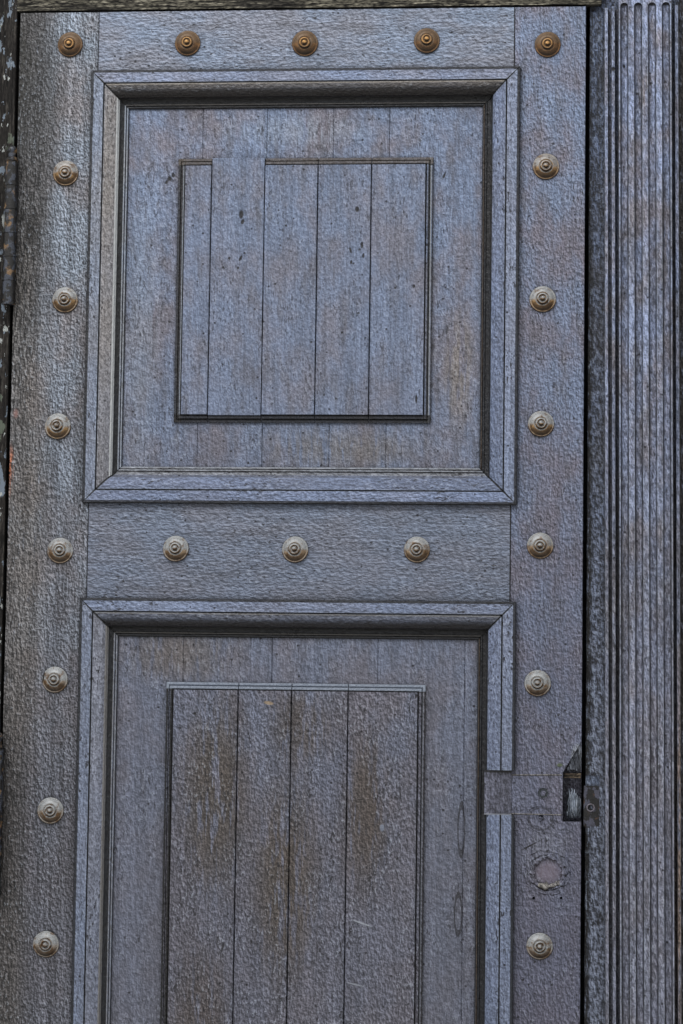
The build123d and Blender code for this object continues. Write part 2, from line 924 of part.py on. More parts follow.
def hinges():
    frame_side = (jamb_face - plate_thickness, jamb_face)
    leaf_side = (leaf_left, leaf_left + plate_thickness)
    pieces = {}
    for name, top in zip(hinge_names, hinge_tops()):
        frame_plate = hinge_plate(0, frame_side, top)
        leaf_plate = hinge_plate(1, leaf_side, top)
        for z in screw_places(top):
            frame_plate -= plate_screw(jamb_face, -1, z, screw_clearance)
            leaf_plate -= plate_screw(leaf_left, 1, z, screw_clearance)
        pieces[name + "_hinge_frame_plate"] = frame_plate
        pieces[name + "_hinge_leaf_plate"] = leaf_plate
        pieces[name + "_hinge_pin"] = hinge_pin(top)
    pieces["hinge_frame_screws"] = plate_screws(jamb_face, -1)
    pieces["hinge_leaf_screws"] = plate_screws(leaf_left, 1)
    return pieces


# Assembly

def all_pieces():
    pieces = {
        "sill": sill(),
        "left_jamb": left_jamb(),
        "right_post": right_post(),
        "head": head(),
        "pilaster": pilaster(),
        "keeper": keeper(),
        "keeper_packing": keeper_packing(),
        "hinge_stile": hinge_stile(),
        "lock_stile": lock_stile(),
        "stile_patch": stile_patch(),
        "patch_plug": patch_hole(patch_plug_sunk, 0),
        "moulding_insert": moulding_insert(),
        "stile_studs": studs_at(stile_stud_places()),
        "rail_studs": studs_at(rail_stud_places()),
    }
    for name, span in zip(("top_rail", "middle_rail", "bottom_rail"), rail_heights()):
        pieces[name] = rail(*span)
    panels = zip(
        ("upper", "lower"),
        (0, 1),
        panel_openings(),
        (upper_board_shares, lower_board_shares),
        (upper_plank_shares, lower_plank_shares),
    )
    for prefix, opening, (low, high), boards, planks in panels:
        pieces.update(moulding_frame(prefix, low, high))
        pieces.update(panel_boards(prefix, low, high, boards))
        pieces.update(field_planks(prefix, opening, low, high, planks))
    pieces["lower_moulding_right"] -= insert_housing(opening_right + moulding_lap + 1)
    pieces.update(stops())
    pieces.update(hinges())
    return pieces


os.makedirs("parts", exist_ok=True)
for piece_name, solid in all_pieces().items():
    export_step(solid, f"parts/{piece_name}.step")
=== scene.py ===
import math
import random

import bmesh
import bpy
from mathutils import Matrix, Vector


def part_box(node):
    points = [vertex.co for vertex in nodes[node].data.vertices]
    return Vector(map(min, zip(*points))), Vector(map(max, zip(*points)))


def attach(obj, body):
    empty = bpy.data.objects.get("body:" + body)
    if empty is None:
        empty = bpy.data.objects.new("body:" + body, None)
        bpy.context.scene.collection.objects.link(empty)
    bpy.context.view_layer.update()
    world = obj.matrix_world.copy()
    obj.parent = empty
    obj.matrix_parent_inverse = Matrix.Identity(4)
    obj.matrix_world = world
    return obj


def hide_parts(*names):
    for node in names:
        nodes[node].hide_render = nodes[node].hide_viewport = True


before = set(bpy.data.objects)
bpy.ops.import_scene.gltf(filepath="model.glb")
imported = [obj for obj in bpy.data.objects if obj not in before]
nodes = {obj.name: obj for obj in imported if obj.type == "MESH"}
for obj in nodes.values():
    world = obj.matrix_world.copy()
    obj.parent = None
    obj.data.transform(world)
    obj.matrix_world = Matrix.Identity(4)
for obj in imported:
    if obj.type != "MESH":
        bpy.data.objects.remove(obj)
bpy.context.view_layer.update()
mm = 0.001
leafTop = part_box("hinge_stile")[1].z
print("frame loaded:", len(nodes), "nodes")


def down(distance):
    # Height of a point this many millimetres below the top of the leaf
    return leafTop - distance * mm


def linear(hexColour):
    # sRGB hex to the linear colour that a shader takes
    channels = [int(hexColour[i:i + 2], 16) / 255 for i in (1, 3, 5)]
    return [c / 12.92 if c <= 0.04045 else ((c + 0.055) / 1.055) ** 2.4 for c in channels] + [1.0]


def addNode(tree, kind, feeds=None, out=None, **settings):
    # Adds a node, sets it, links or fills its inputs, and hands back its output. A feed such as
    # (pattern, low, high) turns the pattern's values from low to high softly into 0 to 1,
    # or into the two numbers that follow.
    node = tree.nodes.new(kind)
    for name, value in settings.items():
        setattr(node, name, value)
    for key, feed in (feeds or {}).items():
        socket = node.inputs[key] if isinstance(key, int) else next(
            s for s in node.inputs if key in (s.identifier, s.name))
        if isinstance(feed, tuple) and not isinstance(feed[0], (int, float)):
            pattern, low, high, least, most = (*feed, 0.0, 1.0)[:5]
            feed = addNode(tree, "ShaderNodeMapRange", {
                "Value": pattern, "From Min": low, "From Max": high, "To Min": least, "To Max": most},
                interpolation_type="SMOOTHSTEP")
        if isinstance(feed, bpy.types.NodeSocket):
            tree.links.new(feed, socket)
        else:
            socket.default_value = feed
    return next((s for s in node.outputs if s.enabled and out in (None, s.name)), None)


# Patterns that several finishes share. Lengths are millimetres.

markDepth = 40  # a mark on the street face colours this much of the wood behind it
stripeBlur = 0.5  # soft edge of the stripes along the mouldings


def grained(tree, place, upright, size, stretch, detail=3.0, roughness=0.55):
    # Noise of this size across the grain, drawn out along it
    scale = (1, 1, 1 / stretch) if upright else (1 / stretch, 1, 1)
    near = addNode(tree, "ShaderNodeMapping", {"Vector": place, "Scale": scale})
    return addNode(tree, "ShaderNodeTexNoise", {
        "Vector": near, "Scale": 1 / (size * mm), "Detail": detail, "Roughness": roughness})


def layered(tree, base, layers):
    # Colours laid one over another: the colour, how much of it, and the masks that bound it
    for colour, share, *masks in layers:
        for mask in masks:
            share = addNode(tree, "ShaderNodeMath", {0: share, 1: mask}, operation="MULTIPLY")
        base = addNode(tree, "ShaderNodeMix", {
            "Factor_Float": share, "A_Color": base, "B_Color": linear(colour)}, data_type="RGBA", out="Result")
    return base


def toned(tree, colour, factors):
    # A colour made darker and lighter by patterns of factors
    for factor in factors:
        colour = addNode(tree, "ShaderNodeMix", {"Factor_Float": 1.0, "A_Color": colour, "B_Color": factor},
                         data_type="RGBA", blend_type="MULTIPLY", out="Result")
    return colour


def heights(tree, parts):
    # Weighted sum of height patterns
    total = 0.0
    for pattern, amount in parts:
        total = addNode(tree, "ShaderNodeMath", {0: pattern, 1: amount, 2: total}, operation="MULTIPLY_ADD")
    return total


def nearMark(tree, place, mark):
    # Distance from a mark on the street face, 1 at its outline: x, down, half width w, half height h
    near = addNode(tree, "ShaderNodeMapping", {
        "Vector": place,
        "Location": (mark["x"] * mm, 0, down(mark["down"])),
        "Rotation": (0, math.radians(mark.get("turn", 0)), 0),
        "Scale": (mark["w"] * mm, markDepth * mm, mark["h"] * mm)}, vector_type="TEXTURE")
    return addNode(tree, "ShaderNodeVectorMath", {0: near}, out="Value", operation="LENGTH")


def crevices(tree, reach, clear, shut):
    # 1 where surfaces meet in a corner or a joint, 0 in the open
    seen = addNode(tree, "ShaderNodeAmbientOcclusion", {"Distance": reach * mm}, out="AO", samples=1)
    return seen, clear, shut


def arrises(tree, reach):
    # 1 along sharp outer edges
    solid = addNode(tree, "ShaderNodeAmbientOcclusion", {"Distance": reach * mm}, out="AO", samples=1, inside=True)
    return solid, 0.97, 0.6


def facing(tree, axis, low, high):
    # 0 to 1 as a face turns along the axis, such as Z for up
    normal = addNode(tree, "ShaderNodeNewGeometry", out="Normal")
    return addNode(tree, "ShaderNodeSeparateXYZ", {0: normal}, out=axis), low, high


def across(tree, place, axis, start, end):
    # 0 to 1 between two places along an axis, in metres
    return addNode(tree, "ShaderNodeSeparateXYZ", {0: place}, out=axis), start, end


def zoned(tree, place, colour, sections, kind):
    # Stripes of colour that run along an edge: each zone from and to so many millimetres in from it
    for section in sections:
        line = addNode(tree, "ShaderNodeSeparateXYZ", {0: place}, out=section["axis"])
        inward = addNode(tree, "ShaderNodeMath", {
            0: line, 1: section["sign"] / mm, 2: -section["from"] * section["sign"] / mm}, operation="MULTIPLY_ADD")
        for start, end, tint, share in section.get(kind, ()):
            colour = layered(tree, colour, [(
                tint, share, (inward, start - stripeBlur, start + stripeBlur),
                (inward, end + stripeBlur, end - stripeBlur))])
    return colour


def newMaterial(name):
    material = bpy.data.materials.new(name)
    material.use_nodes = True
    tree = material.node_tree
    tree.nodes.clear()
    place = addNode(tree, "ShaderNodeTexCoord", out="Object")
    return material, tree, place


def finishMaterial(tree, colour, roughness, height, depth, **fixed):
    # Principled shader with one bump; a height of 1 stands depth millimetres proud
    normal = addNode(tree, "ShaderNodeBump", {"Strength": 1.0, "Distance": depth * mm, "Height": height})
    feeds = {"Base Color": colour, "Roughness": roughness, "Normal": normal}
    feeds.update({name.replace("_", " "): value for name, value in fixed.items()})
    shader = addNode(tree, "ShaderNodeBsdfPrincipled", feeds)
    addNode(tree, "ShaderNodeOutputMaterial", {"Surface": shader})


# Paint of the leaf: slate grey oil paint in many coats over old softwood. To the eye it is satin with
# a rough sparkling skin of small dimples, bluer where it is thick and browner where it wore thin.
# The real skin has pimples of about 1 mm, too fine to show from where the camera stands: skinMm draws
# them three times as coarse. The hair cracks are drawn as short dashes for the same reason, and only
# in the colour, because they are too thin to cast a shadow.

# Light and shade are painted into this colour as well: the skin's sparkle, glints and relief, and shade in corners,
# joints and on faces turned down or to the sides.
oilPaint = {
    "cool": "#76849f", "warm": "#77747f", "dull": "#5b5a60", "foot": "#54535b", "footShare": 0.85,
    "grime": "#1a1715", "pit": "#1d1c20", "glint": "#c2ccda", "edge": "#a3adbb", "under": "#1b1613",
    "wall": "#131214", "gap": "#0b0a0a", "chip": "#171516",
    "mottleMm": 60, "skinMm": 3.4, "skinStretch": 1.7, "grainMm": 2.4, "stretch": 16, "dashMm": 2.7, "dotMm": 17,
    "dullMm": 15, "streakMm": 9, "waveMm": 26, "roughMm": 38,
    "ledgeStep": (0.9, 0, 1.1),  # painted light and shade on each lump: the skin compared with itself this far to the right and up
    "footFrom": 150, "footTo": 1250,  # the colour darkens towards the foot between these depths below the top
    "sparkle": 0.12, "streak": 0.11, "glints": 0.25, "dashes": 0.85, "dots": 0.85, "edges": 0, "walls": 0,
    "skin": 3.4, "grain": 0.6, "wave": 1.6, "ledges": 0.34,
    "dirt": 0.85, "reach": 13, "joint": 0.95, "jointReach": 3.6, "underShare": 0.92,
    "depth": 0.8, "roughness": 0.45, "specular": 0.4,
}


def paintedTimber(name, upright=True, marks=(), rings=(), stains=(), sections=(), **changes):
    look = dict(oilPaint, **changes)
    material, tree, place = newMaterial(name)
    skin = grained(tree, place, upright, look["skinMm"], look["skinStretch"], 3.0, 0.66)
    # The skin compared with a copy of itself shifted up and to the right paints light and shade on each lump
    above = addNode(tree, "ShaderNodeVectorMath", {0: place, 1: [step * mm for step in look["ledgeStep"]]},
                    operation="ADD")
    skinAbove = grained(tree, above, upright, look["skinMm"], look["skinStretch"], 3.0, 0.66)
    ledges = heights(tree, [(skin, 1.0), (skinAbove, -1.0)])
    grain = grained(tree, place, upright, look["grainMm"], look["stretch"], 2.0)
    streak = grained(tree, place, upright, look["streakMm"], 28, 2.0)
    mottle = grained(tree, place, upright, look["mottleMm"], 1.7, 4.0, 0.6)
    wave = grained(tree, place, upright, look["waveMm"], 3.0, 1.0)
    roughZone = (grained(tree, place, upright, look["roughMm"], 1.8, 2.0), 0.36, 0.62)
    dashes = (grained(tree, place, upright, look["dashMm"], 3.0, 2.0), 0.60, 0.64)
    cells = addNode(tree, "ShaderNodeTexVoronoi", {
        "Vector": place, "Scale": 1 / (look["dotMm"] * mm), "Randomness": 1.0})
    dots = (cells, 0.11, 0.06)

    colour = layered(tree, linear(look["cool"]), [
        (look["warm"], 1.0, (mottle, 0.38, 0.66)),
        (look["dull"], 0.5, (grained(tree, place, upright, look["dullMm"], 4, 2.0), 0.50, 0.72))])
    colour = zoned(tree, place, colour, sections, "zones")
    colour = layered(tree, colour, [
        (look["foot"], look["footShare"], across(tree, place, "Z", down(look["footFrom"]), down(look["footTo"])))])
    for stain in stains:
        cover = stain.get("cover", 0.38)
        broken = (grained(tree, place, upright, stain.get("grain", 7), 9, 3.0, 0.65), cover, cover + 0.12)
        near = (nearMark(tree, place, stain), 1.0, stain.get("core", 0.25))
        colour = layered(tree, colour, [(stain["colour"], stain["share"], near, broken)])
    # The sparkle and the painted relief make the colour lighter and darker as painted light and shade of the skin's
    # dimples and lumps; the streaks and the grain are the paint's own tone.
    colour = toned(tree, colour, [
        (streak, 0.32, 0.68, 1 - look["streak"], 1 + look["streak"]),
        (skin, 0.36, 0.64, 1 - look["sparkle"], 1 + look["sparkle"]),
        (ledges, -0.13, 0.13, 1 - look["ledges"], 1 + look["ledges"]),
        (grain, 0.32, 0.68, 0.85, 1.15)])
    if look["edges"]:
        colour = layered(tree, colour, [
            (look["edge"], look["edges"], arrises(tree, 2.2), (grain, 0.36, 0.52))])
    colour = layered(tree, colour, [
        # painted glints: highlights on the lumps of the skin
        (look["glint"], look["glints"], (skin, 0.57, 0.66), roughZone),
        (look["pit"], look["dashes"], dashes, roughZone),
        (look["pit"], look["dots"], dots),
        # dirt with painted shade in corners where surfaces meet
        (look["grime"], look["dirt"], crevices(tree, look["reach"], 0.93, 0.50)),
        # dirt with painted shade on faces turned down
        (look["under"], look["underShare"], facing(tree, "Z", -0.18, -0.60))])
    # painted shade on faces turned to either side, such as the walls of the flutes
    if look["walls"]:
        colour = layered(tree, colour, [
            (look["wall"], look["walls"], facing(tree, "X", 0.40, 0.80)),
            (look["wall"], look["walls"], facing(tree, "X", -0.40, -0.80))])
    # Dark joints, with dirt and painted shade in every narrow gap and groove
    colour = layered(tree, colour, [
        (look["gap"], look["joint"], crevices(tree, look["jointReach"], 0.88, 0.62))])
    colour = zoned(tree, place, colour, sections, "lines")
    deep = [(skin, look["skin"]), (grain, look["grain"]), (wave, look["wave"]), (dots, -0.8)]
    for mark in marks:
        chip = (nearMark(tree, place, mark), 1.0, mark.get("core", 0.5))
        colour = layered(tree, colour, [(mark.get("colour", look["chip"]), mark.get("share", 0.95), chip)])
        sunk = mark.get("sunk", 0.8)
        if sunk:
            deep.append((chip, -sunk))
    for mark in rings:
        away = addNode(tree, "ShaderNodeMath", {0: nearMark(tree, place, mark), 1: 1.0, 2: mark["band"]},
                       operation="COMPARE")
        colour = layered(tree, colour, [(mark.get("colour", look["chip"]), mark.get("share", 0.7), away)])
        deep.append((away, mark.get("rise", -1.0)))
    rough = (skin, 0.3, 0.7, look["roughness"] + 0.15, look["roughness"] - 0.1)
    finishMaterial(tree, colour, rough, heights(tree, deep), look["depth"], Specular_IOR_Level=look["specular"])
    return material


def wear(node, material):
    # Gives a CAD piece its finish
    nodes[node].data.materials.clear()
    nodes[node].data.materials.append(material)


# Leaf: chips, stains and rings stand at these places, x and down in millimetres from the middle of
# the leaf's top edge, with half their width and height

boardChips = [
    {"x": -173, "down": 224, "w": 4.5, "h": 5}, {"x": -168, "down": 220, "w": 3.5, "h": 3.5},
    {"x": -177, "down": 229, "w": 2.5, "h": 4, "turn": 30}, {"x": 193, "down": 222, "w": 2.2, "h": 7, "turn": 20},
]
fieldChips = [
    {"x": -75, "down": 274, "w": 4.0, "h": 8}, {"x": -73, "down": 284, "w": 3, "h": 5, "turn": 20},
    {"x": -75, "down": 333, "w": 2.2, "h": 6, "turn": 25}, {"x": -90, "down": 333, "w": 2.2, "h": 2.5},
    {"x": -78, "down": 346, "w": 1.8, "h": 2.5}, {"x": -98, "down": 345, "w": 1.6, "h": 2.2},
    {"x": 79, "down": 268, "w": 3.5, "h": 5}, {"x": 86, "down": 316, "w": 2.4, "h": 6},
    {"x": 71, "down": 323, "w": 1.8, "h": 6, "turn": -15}, {"x": 88, "down": 330, "w": 2.0, "h": 4},
    {"x": 72, "down": 339, "w": 2.0, "h": 3}, {"x": 155, "down": 371, "w": 2.4, "h": 3},
    {"x": 160, "down": 520, "w": 1.8, "h": 8},
]
lowerStains = [
    {"x": -96, "down": 1040, "w": 66, "h": 190, "share": 0.85, "colour": "#4b433b"},
    {"x": -3, "down": 1150, "w": 60, "h": 190, "share": 0.85, "colour": "#50473e"},
    {"x": 100, "down": 1060, "w": 45, "h": 150, "share": 0.8, "colour": "#4c4239"},
    {"x": 14, "down": 950, "w": 60, "h": 70, "share": 0.8, "colour": "#4d4642"},
    {"x": -110, "down": 1350, "w": 60, "h": 170, "share": 0.7, "colour": "#493f38"},
]
boardStains = [
    {"x": -208, "down": 440, "w": 36, "h": 300, "share": 0.45, "colour": "#8d97a8", "cover": 0.32},
    {"x": 215, "down": 480, "w": 30, "h": 110, "share": 0.6, "colour": "#80786e"},
    {"x": 60, "down": 585, "w": 160, "h": 40, "share": 0.6, "colour": "#716a62"},
    {"x": -150, "down": 855, "w": 110, "h": 60, "share": 0.6, "colour": "#665e55"},
    {"x": 0, "down": 160, "w": 150, "h": 30, "share": 0.5, "colour": "#8d97a8"},
]
stileWear = [
    {"x": -386, "down": 160, "w": 84, "h": 420, "share": 0.9, "colour": "#4a494a",
     "core": 0.5, "grain": 4, "cover": 0.28},
    {"x": -386, "down": 700, "w": 78, "h": 560, "share": 0.6, "colour": "#625b53",
     "core": 0.45, "grain": 4, "cover": 0.3},
    {"x": -385, "down": 1300, "w": 62, "h": 500, "share": 0.85, "colour": "#4b4745",
     "core": 0.4, "grain": 5, "cover": 0.22},
    {"x": -384, "down": 250, "w": 62, "h": 520, "share": 1.0, "colour": "#0f0e0e",
     "core": 0.45, "grain": 2.6, "cover": 0.47},
    {"x": -380, "down": 1050, "w": 60, "h": 700, "share": 0.85, "colour": "#151413",
     "core": 0.3, "grain": 2.6, "cover": 0.49},
    {"x": -386, "down": 90, "w": 40, "h": 170, "share": 0.9, "colour": "#23221f",
     "core": 0.3, "grain": 3, "cover": 0.36},
    {"x": -358, "down": 295, "w": 20, "h": 34, "share": 1.0, "colour": "#1d1b1a", "core": 0.1},
    {"x": -376, "down": 616, "w": 5, "h": 42, "share": 0.9, "colour": "#8f5335", "core": 0.3},
]
lockMarks = [
    # The first mark is painted shade in the hollow of the break above the splintered bar
    {"x": 366, "down": 997, "w": 13, "h": 6, "sunk": 0.0, "core": 0.4, "colour": "#0c0b0b"},
    {"x": 350, "down": 994, "w": 5, "h": 3, "sunk": -0.8, "colour": "#4e5a35", "share": 0.8},
    {"x": 336, "down": 1131, "w": 24, "h": 22, "sunk": 0.4, "core": 0.3, "colour": "#7c717e", "share": 0.7},
    {"x": 335, "down": 1104, "w": 2.4, "h": 1.8}, {"x": 357, "down": 1124, "w": 1.8, "h": 2.0},
    {"x": 312, "down": 1098, "w": 1.2, "h": 14, "turn": 62},
]
lockRings = [
    {"x": 326.5, "down": 1063, "w": 15.5, "h": 14, "band": 0.08, "rise": -1.2, "share": 0.5},
    {"x": 329, "down": 1030, "w": 5.2, "h": 5.2, "band": 0.25, "colour": "#232c2b", "share": 0.85},
]
lockStains = [
    {"x": 372, "down": 983, "w": 9, "h": 20, "share": 0.9, "colour": "#8d929c", "core": 0.6, "grain": 2},
    {"x": 330, "down": 1110, "w": 45, "h": 60, "share": 0.5, "colour": "#6f717c", "grain": 4},
]
stilePaint = paintedTimber(
    "stile_oil_paint", cool="#7f8997", warm="#777478", stains=stileWear, sparkle=0.3, glints=0.35,
    streak=0.28, skin=4.0, ledges=0.62,
    marks=[{"x": -371, "down": 541, "w": 5, "h": 9, "colour": "#8a6a66", "sunk": 0, "core": 0.1}])
lockPaint = paintedTimber(
    "lock_stile_oil_paint", warm="#74707c", foot="#5b5b6b", marks=lockMarks, rings=lockRings, stains=lockStains,
    sparkle=0.12, glints=0.25, streak=0.1, ledges=0.45)
# Dark joints where the rails meet the stiles
railEnds = [{"axis": "X", "from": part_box("hinge_stile")[1].x, "sign": 1, "lines": [(-1, 1.1, "#0a0909", 0.9)]},
            {"axis": "X", "from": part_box("lock_stile")[0].x, "sign": -1, "lines": [(-1, 1.5, "#0a0909", 0.95)]}]
railPaint = paintedTimber("rail_oil_paint", upright=False, cool="#7b889e", warm="#7f8391", foot="#5c6171",
                          footShare=0.95, sparkle=0.24, skinStretch=2.2, dashes=0.9, ledges=0.3,
                          sections=railEnds)

# Stripes across the moulding runs, in from the outer edge: flat, band, arris, cove, beads. Their colours are painted
# light and shade by the way each run faces: the top run's band and cove dark, the bottom run's band and cove pale,
# the left and right bands in lit and shaded tones, bright lines as painted highlights on arrises and beads, dark
# lines as dirt with painted shadow.
tongue = 2.5  # the CAD run reaches this far under the stile or rail beside it
mouldingWidth = 49.6  # seen width of a run, from its outer edge to the panel
outline = [(-1, 3.8, "#0c0b0b", 0.92), (16.6, 18.8, "#111010", 0.88)]  # dirt and painted shadow at the outer edge and in the quirk
runLooks = {
    "left": {"axis": "X", "side": 0, "sign": 1, "zones": [(0, 17, "#8a919e", 0.5), (18.4, 35.4, "#918b86", 0.75)],
             "lines": outline + [
                 (36.9, 43.5, "#101010", 0.95), (34.0, 37.0, "#dcdfe0", 0.9), (43.6, 45.0, "#a4a8ac", 0.6),
                 (45.4, 46.6, "#0f0e0e", 0.85), (47.0, 48.2, "#a4a8ac", 0.6), (48.6, 50.5, "#0f0e0e", 0.9)]},
    "right": {"axis": "X", "side": 1, "sign": -1, "zones": [(0, 17, "#8c97b1", 0.6), (18.4, 35.4, "#69748f", 0.75)],
              "lines": outline + [(36.0, 50.5, "#121111", 0.95), (47.0, 47.6, "#6d5a48", 0.7)]},
    "top": {"axis": "Z", "side": 1, "sign": -1,
            "zones": [(0, 17, "#8490ae", 0.45), (18.4, 26, "#4b453f", 0.85), (26, 36, "#211e1d", 0.92)],
            "lines": outline + [
                (18.9, 20.4, "#a49c92", 0.6), (36.5, 50.5, "#0d0c0c", 0.96), (44, 44.8, "#6b665f", 0.5)]},
    "bottom": {"axis": "Z", "side": 0, "sign": 1,
               "zones": [(0, 17, "#7d8bad", 0.6), (18.4, 34.5, "#66718c", 0.75), (35, 39, "#50535f", 0.7),
                         (39, 50.5, "#90908f", 0.75)],
               "lines": outline},
}


mitreCrack = {"w": 1.5, "h": 36, "sunk": 0, "core": 0.7, "colour": "#0d0c0c", "share": 0.9}


def mitreCracks(panel, run):
    # Open mitres at the ends of a run, drawn as dark slits from corner to corner
    inset = (tongue + mouldingWidth / 2) * mm
    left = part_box(panel + "_moulding_left")[0].x + inset
    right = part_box(panel + "_moulding_right")[1].x - inset
    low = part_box(panel + "_moulding_bottom")[0].z + inset
    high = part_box(panel + "_moulding_top")[1].z - inset
    corners = ((("left", "top"), left, high, -45), (("right", "top"), right, high, 45),
               (("left", "bottom"), left, low, 45), (("right", "bottom"), right, low, -45))
    return [dict(mitreCrack, x=x / mm, down=(leafTop - z) / mm, turn=turn)
            for runs, x, z, turn in corners if run in runs]


def runPaint(node, run):
    look = runLooks[run]
    axis = "XYZ".index(look["axis"])
    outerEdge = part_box(node)[look["side"]][axis] + tongue * mm * look["sign"]
    lines = []
    for start, end, tint, share in look["lines"]:
        if node.startswith("lower") and int(tint[1:3], 16) >= 160:
            tint, share = "#8f8b84", share * 0.8  # the painted highlight lines are duller on the lower frame
        lines.append((start, end, tint, share))
    section = {"axis": look["axis"], "from": outerEdge, "sign": look["sign"], "zones": look["zones"], "lines": lines}
    sheltered = run != "bottom"  # the lowest run faces up into the light and gets less painted shade in its corners
    return paintedTimber(
        node + "_oil_paint", upright=run in ("left", "right"), warm="#7b7a82", cool="#7785a0", foot="#707a92",
        footShare=0.7, sparkle=0.2, edges=0.75, skinStretch=1.8, ledges=0.26, sections=[section],
        marks=mitreCracks(node.split("_")[0], run), dirt=0.85 if sheltered else 0.25,
        joint=0.95 if sheltered else 0.6)


boardLook = {"stains": boardStains, "foot": "#666875", "sparkle": 0.14, "glints": 0.2, "dashes": 0.65, "ledges": 0.26}
boardPaint = paintedTimber("board_oil_paint", marks=boardChips, **boardLook)


def fieldEdges(first, last, left, right, top, foot):
    # Dark and light lines on the stepped edge of a field, in from its outline: dirt and painted shade in the grooves
    # and along the foot, painted highlights on the fillets and on the lower field's top bevel
    low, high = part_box(first)[0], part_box(last)[1]
    return [{"axis": "X", "from": low.x, "sign": 1, "lines": left},
            {"axis": "X", "from": high.x, "sign": -1, "lines": right},
            {"axis": "Z", "from": high.z, "sign": -1, "lines": top},
            {"axis": "Z", "from": low.z, "sign": 1, "lines": foot}]


upperEdges = fieldEdges(
    "upper_plank_1", "upper_plank_5",
    left=[(-1, 1.6, "#0c0b0b", 0.9), (1.6, 7.2, "#1f1c1a", 0.9), (7.2, 8.4, "#aab0b8", 0.6),
          (8.4, 10.2, "#0c0b0b", 0.95)],
    right=[(-1, 1.0, "#0c0b0b", 0.9), (2.2, 3.8, "#b9bdc2", 0.7), (4.2, 6.4, "#0f0e0e", 0.9),
           (8.4, 10.0, "#0f0e0e", 0.85)],
    top=[(-1, 8.4, "#5a524b", 0.8), (8.4, 10.2, "#0c0b0b", 0.95)],
    foot=[(-1, 10.2, "#120f0d", 0.88)])
lowerEdges = fieldEdges(
    "lower_plank_1", "lower_plank_4",
    left=[(-1.4, 2.4, "#0b0a0a", 0.95), (5.4, 10.6, "#0c0b0b", 0.95)],
    right=[(-1.2, 1.4, "#0c0b0b", 0.9), (2.4, 4.0, "#8d929a", 0.5), (8.2, 10.0, "#0f0e0e", 0.6)],
    top=[(-1, 8.6, "#97a1b1", 0.85), (9, 10.0, "#1b1a1b", 0.85)],
    foot=[(-1, 10.2, "#120f0d", 0.88)])
upperFieldLook = {"marks": fieldChips, "cool": "#74819b", "warm": "#757684", "foot": "#6d7080",
                  "sparkle": 0.1, "glints": 0.15, "dashes": 0.6, "ledges": 0.2}
upperFieldPaint = paintedTimber("upper_field_oil_paint", sections=upperEdges, **upperFieldLook)
newPlankFoot = dict(upperEdges[3], lines=[(-1, 9.2, "#120f0d", 0.88)])  # the later plank has no stepped edge
newPlankPaint = paintedTimber("new_plank_oil_paint", sections=[newPlankFoot], **upperFieldLook)
lowerFieldPaint = paintedTimber(
    "lower_field_oil_paint", stains=lowerStains, sparkle=0.25, glints=0.3, ledges=0.42, foot="#5e5d67",
    sections=lowerEdges,
    marks=[{"x": -28, "down": 919, "w": 8, "h": 3, "colour": "#9a8872", "sunk": 0.3, "turn": 10},
           {"x": 98, "down": 1201, "w": 17, "h": 1.6, "colour": "#9ba0ab", "sunk": -0.8, "turn": 18},
           {"x": 90, "down": 1279, "w": 15, "h": 1.4, "colour": "#8b8f9a", "sunk": -0.6, "turn": 12},
           {"x": -125, "down": 934, "w": 4, "h": 3, "core": 0.2},
           {"x": 122, "down": 1078, "w": 4, "h": 6, "colour": "#7d8494", "sunk": -1}])
lensCracks = [{"x": 224, "down": 1079, "w": 4.5, "h": 33, "band": 0.16},
              {"x": 221, "down": 1187, "w": 5, "h": 26, "band": 0.15}]
crackedBoardPaint = paintedTimber("cracked_board_oil_paint", rings=lensCracks, **boardLook)
insertFoot, insertTop = (corner.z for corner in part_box("moulding_insert"))
# A painted shadow of the moulding run above lies along the insert's top, and a painted highlight along its foot
insertEdges = [{"axis": "Z", "from": insertTop, "sign": -1, "lines": [(-1, 3.2, "#0c0b0b", 0.9)]},
               {"axis": "Z", "from": insertFoot, "sign": 1, "lines": [(-1, 1.4, "#a9adb6", 0.6)]}]
insertPaint = paintedTimber("insert_thin_paint", cool="#6a6d7d", warm="#605f6c", foot="#575866", grain=1.6,
                            skin=0.6, grainMm=1.8, sparkle=0.35, streak=0.3, glints=0.1, sections=insertEdges)

wear("hinge_stile", stilePaint)
wear("lock_stile", lockPaint)
wear("stile_patch", lockPaint)
wear("patch_plug", lockPaint)
wear("moulding_insert", insertPaint)
for name in ("top_rail", "middle_rail", "bottom_rail"):
    wear(name, railPaint)
for name in nodes:
    if "_moulding_" in name:
        wear(name, runPaint(name, name.split("_")[2]))
    elif "_board_" in name:
        wear(name, crackedBoardPaint if name in ("lower_board_4", "lower_board_5") else boardPaint)
    elif name.startswith("upper_plank"):
        wear(name, newPlankPaint if name == "upper_plank_2" else upperFieldPaint)
    elif name.startswith("lower_plank"):
        wear(name, lowerFieldPaint)
print("leaf painted")


# Frame: head, jamb, stops and sill are weathered pine that has lost most of its paint. It looks
# dry and furrowed along the grain, with black splits.

weatheredWood = {
    "light": "#77726a", "mid": "#4f4a43", "dark": "#262320", "crack": "#0b0a09", "gap": "#070606",
    "stretch": 18, "grainMm": 2.6, "fineMm": 1.8, "patchMm": 30, "splitMm": 3.4,
    "depth": 1.4, "roughness": 0.85, "specular": 0.25, "contrast": 0.55, "split": 0.40, "shade": 0.85,
}


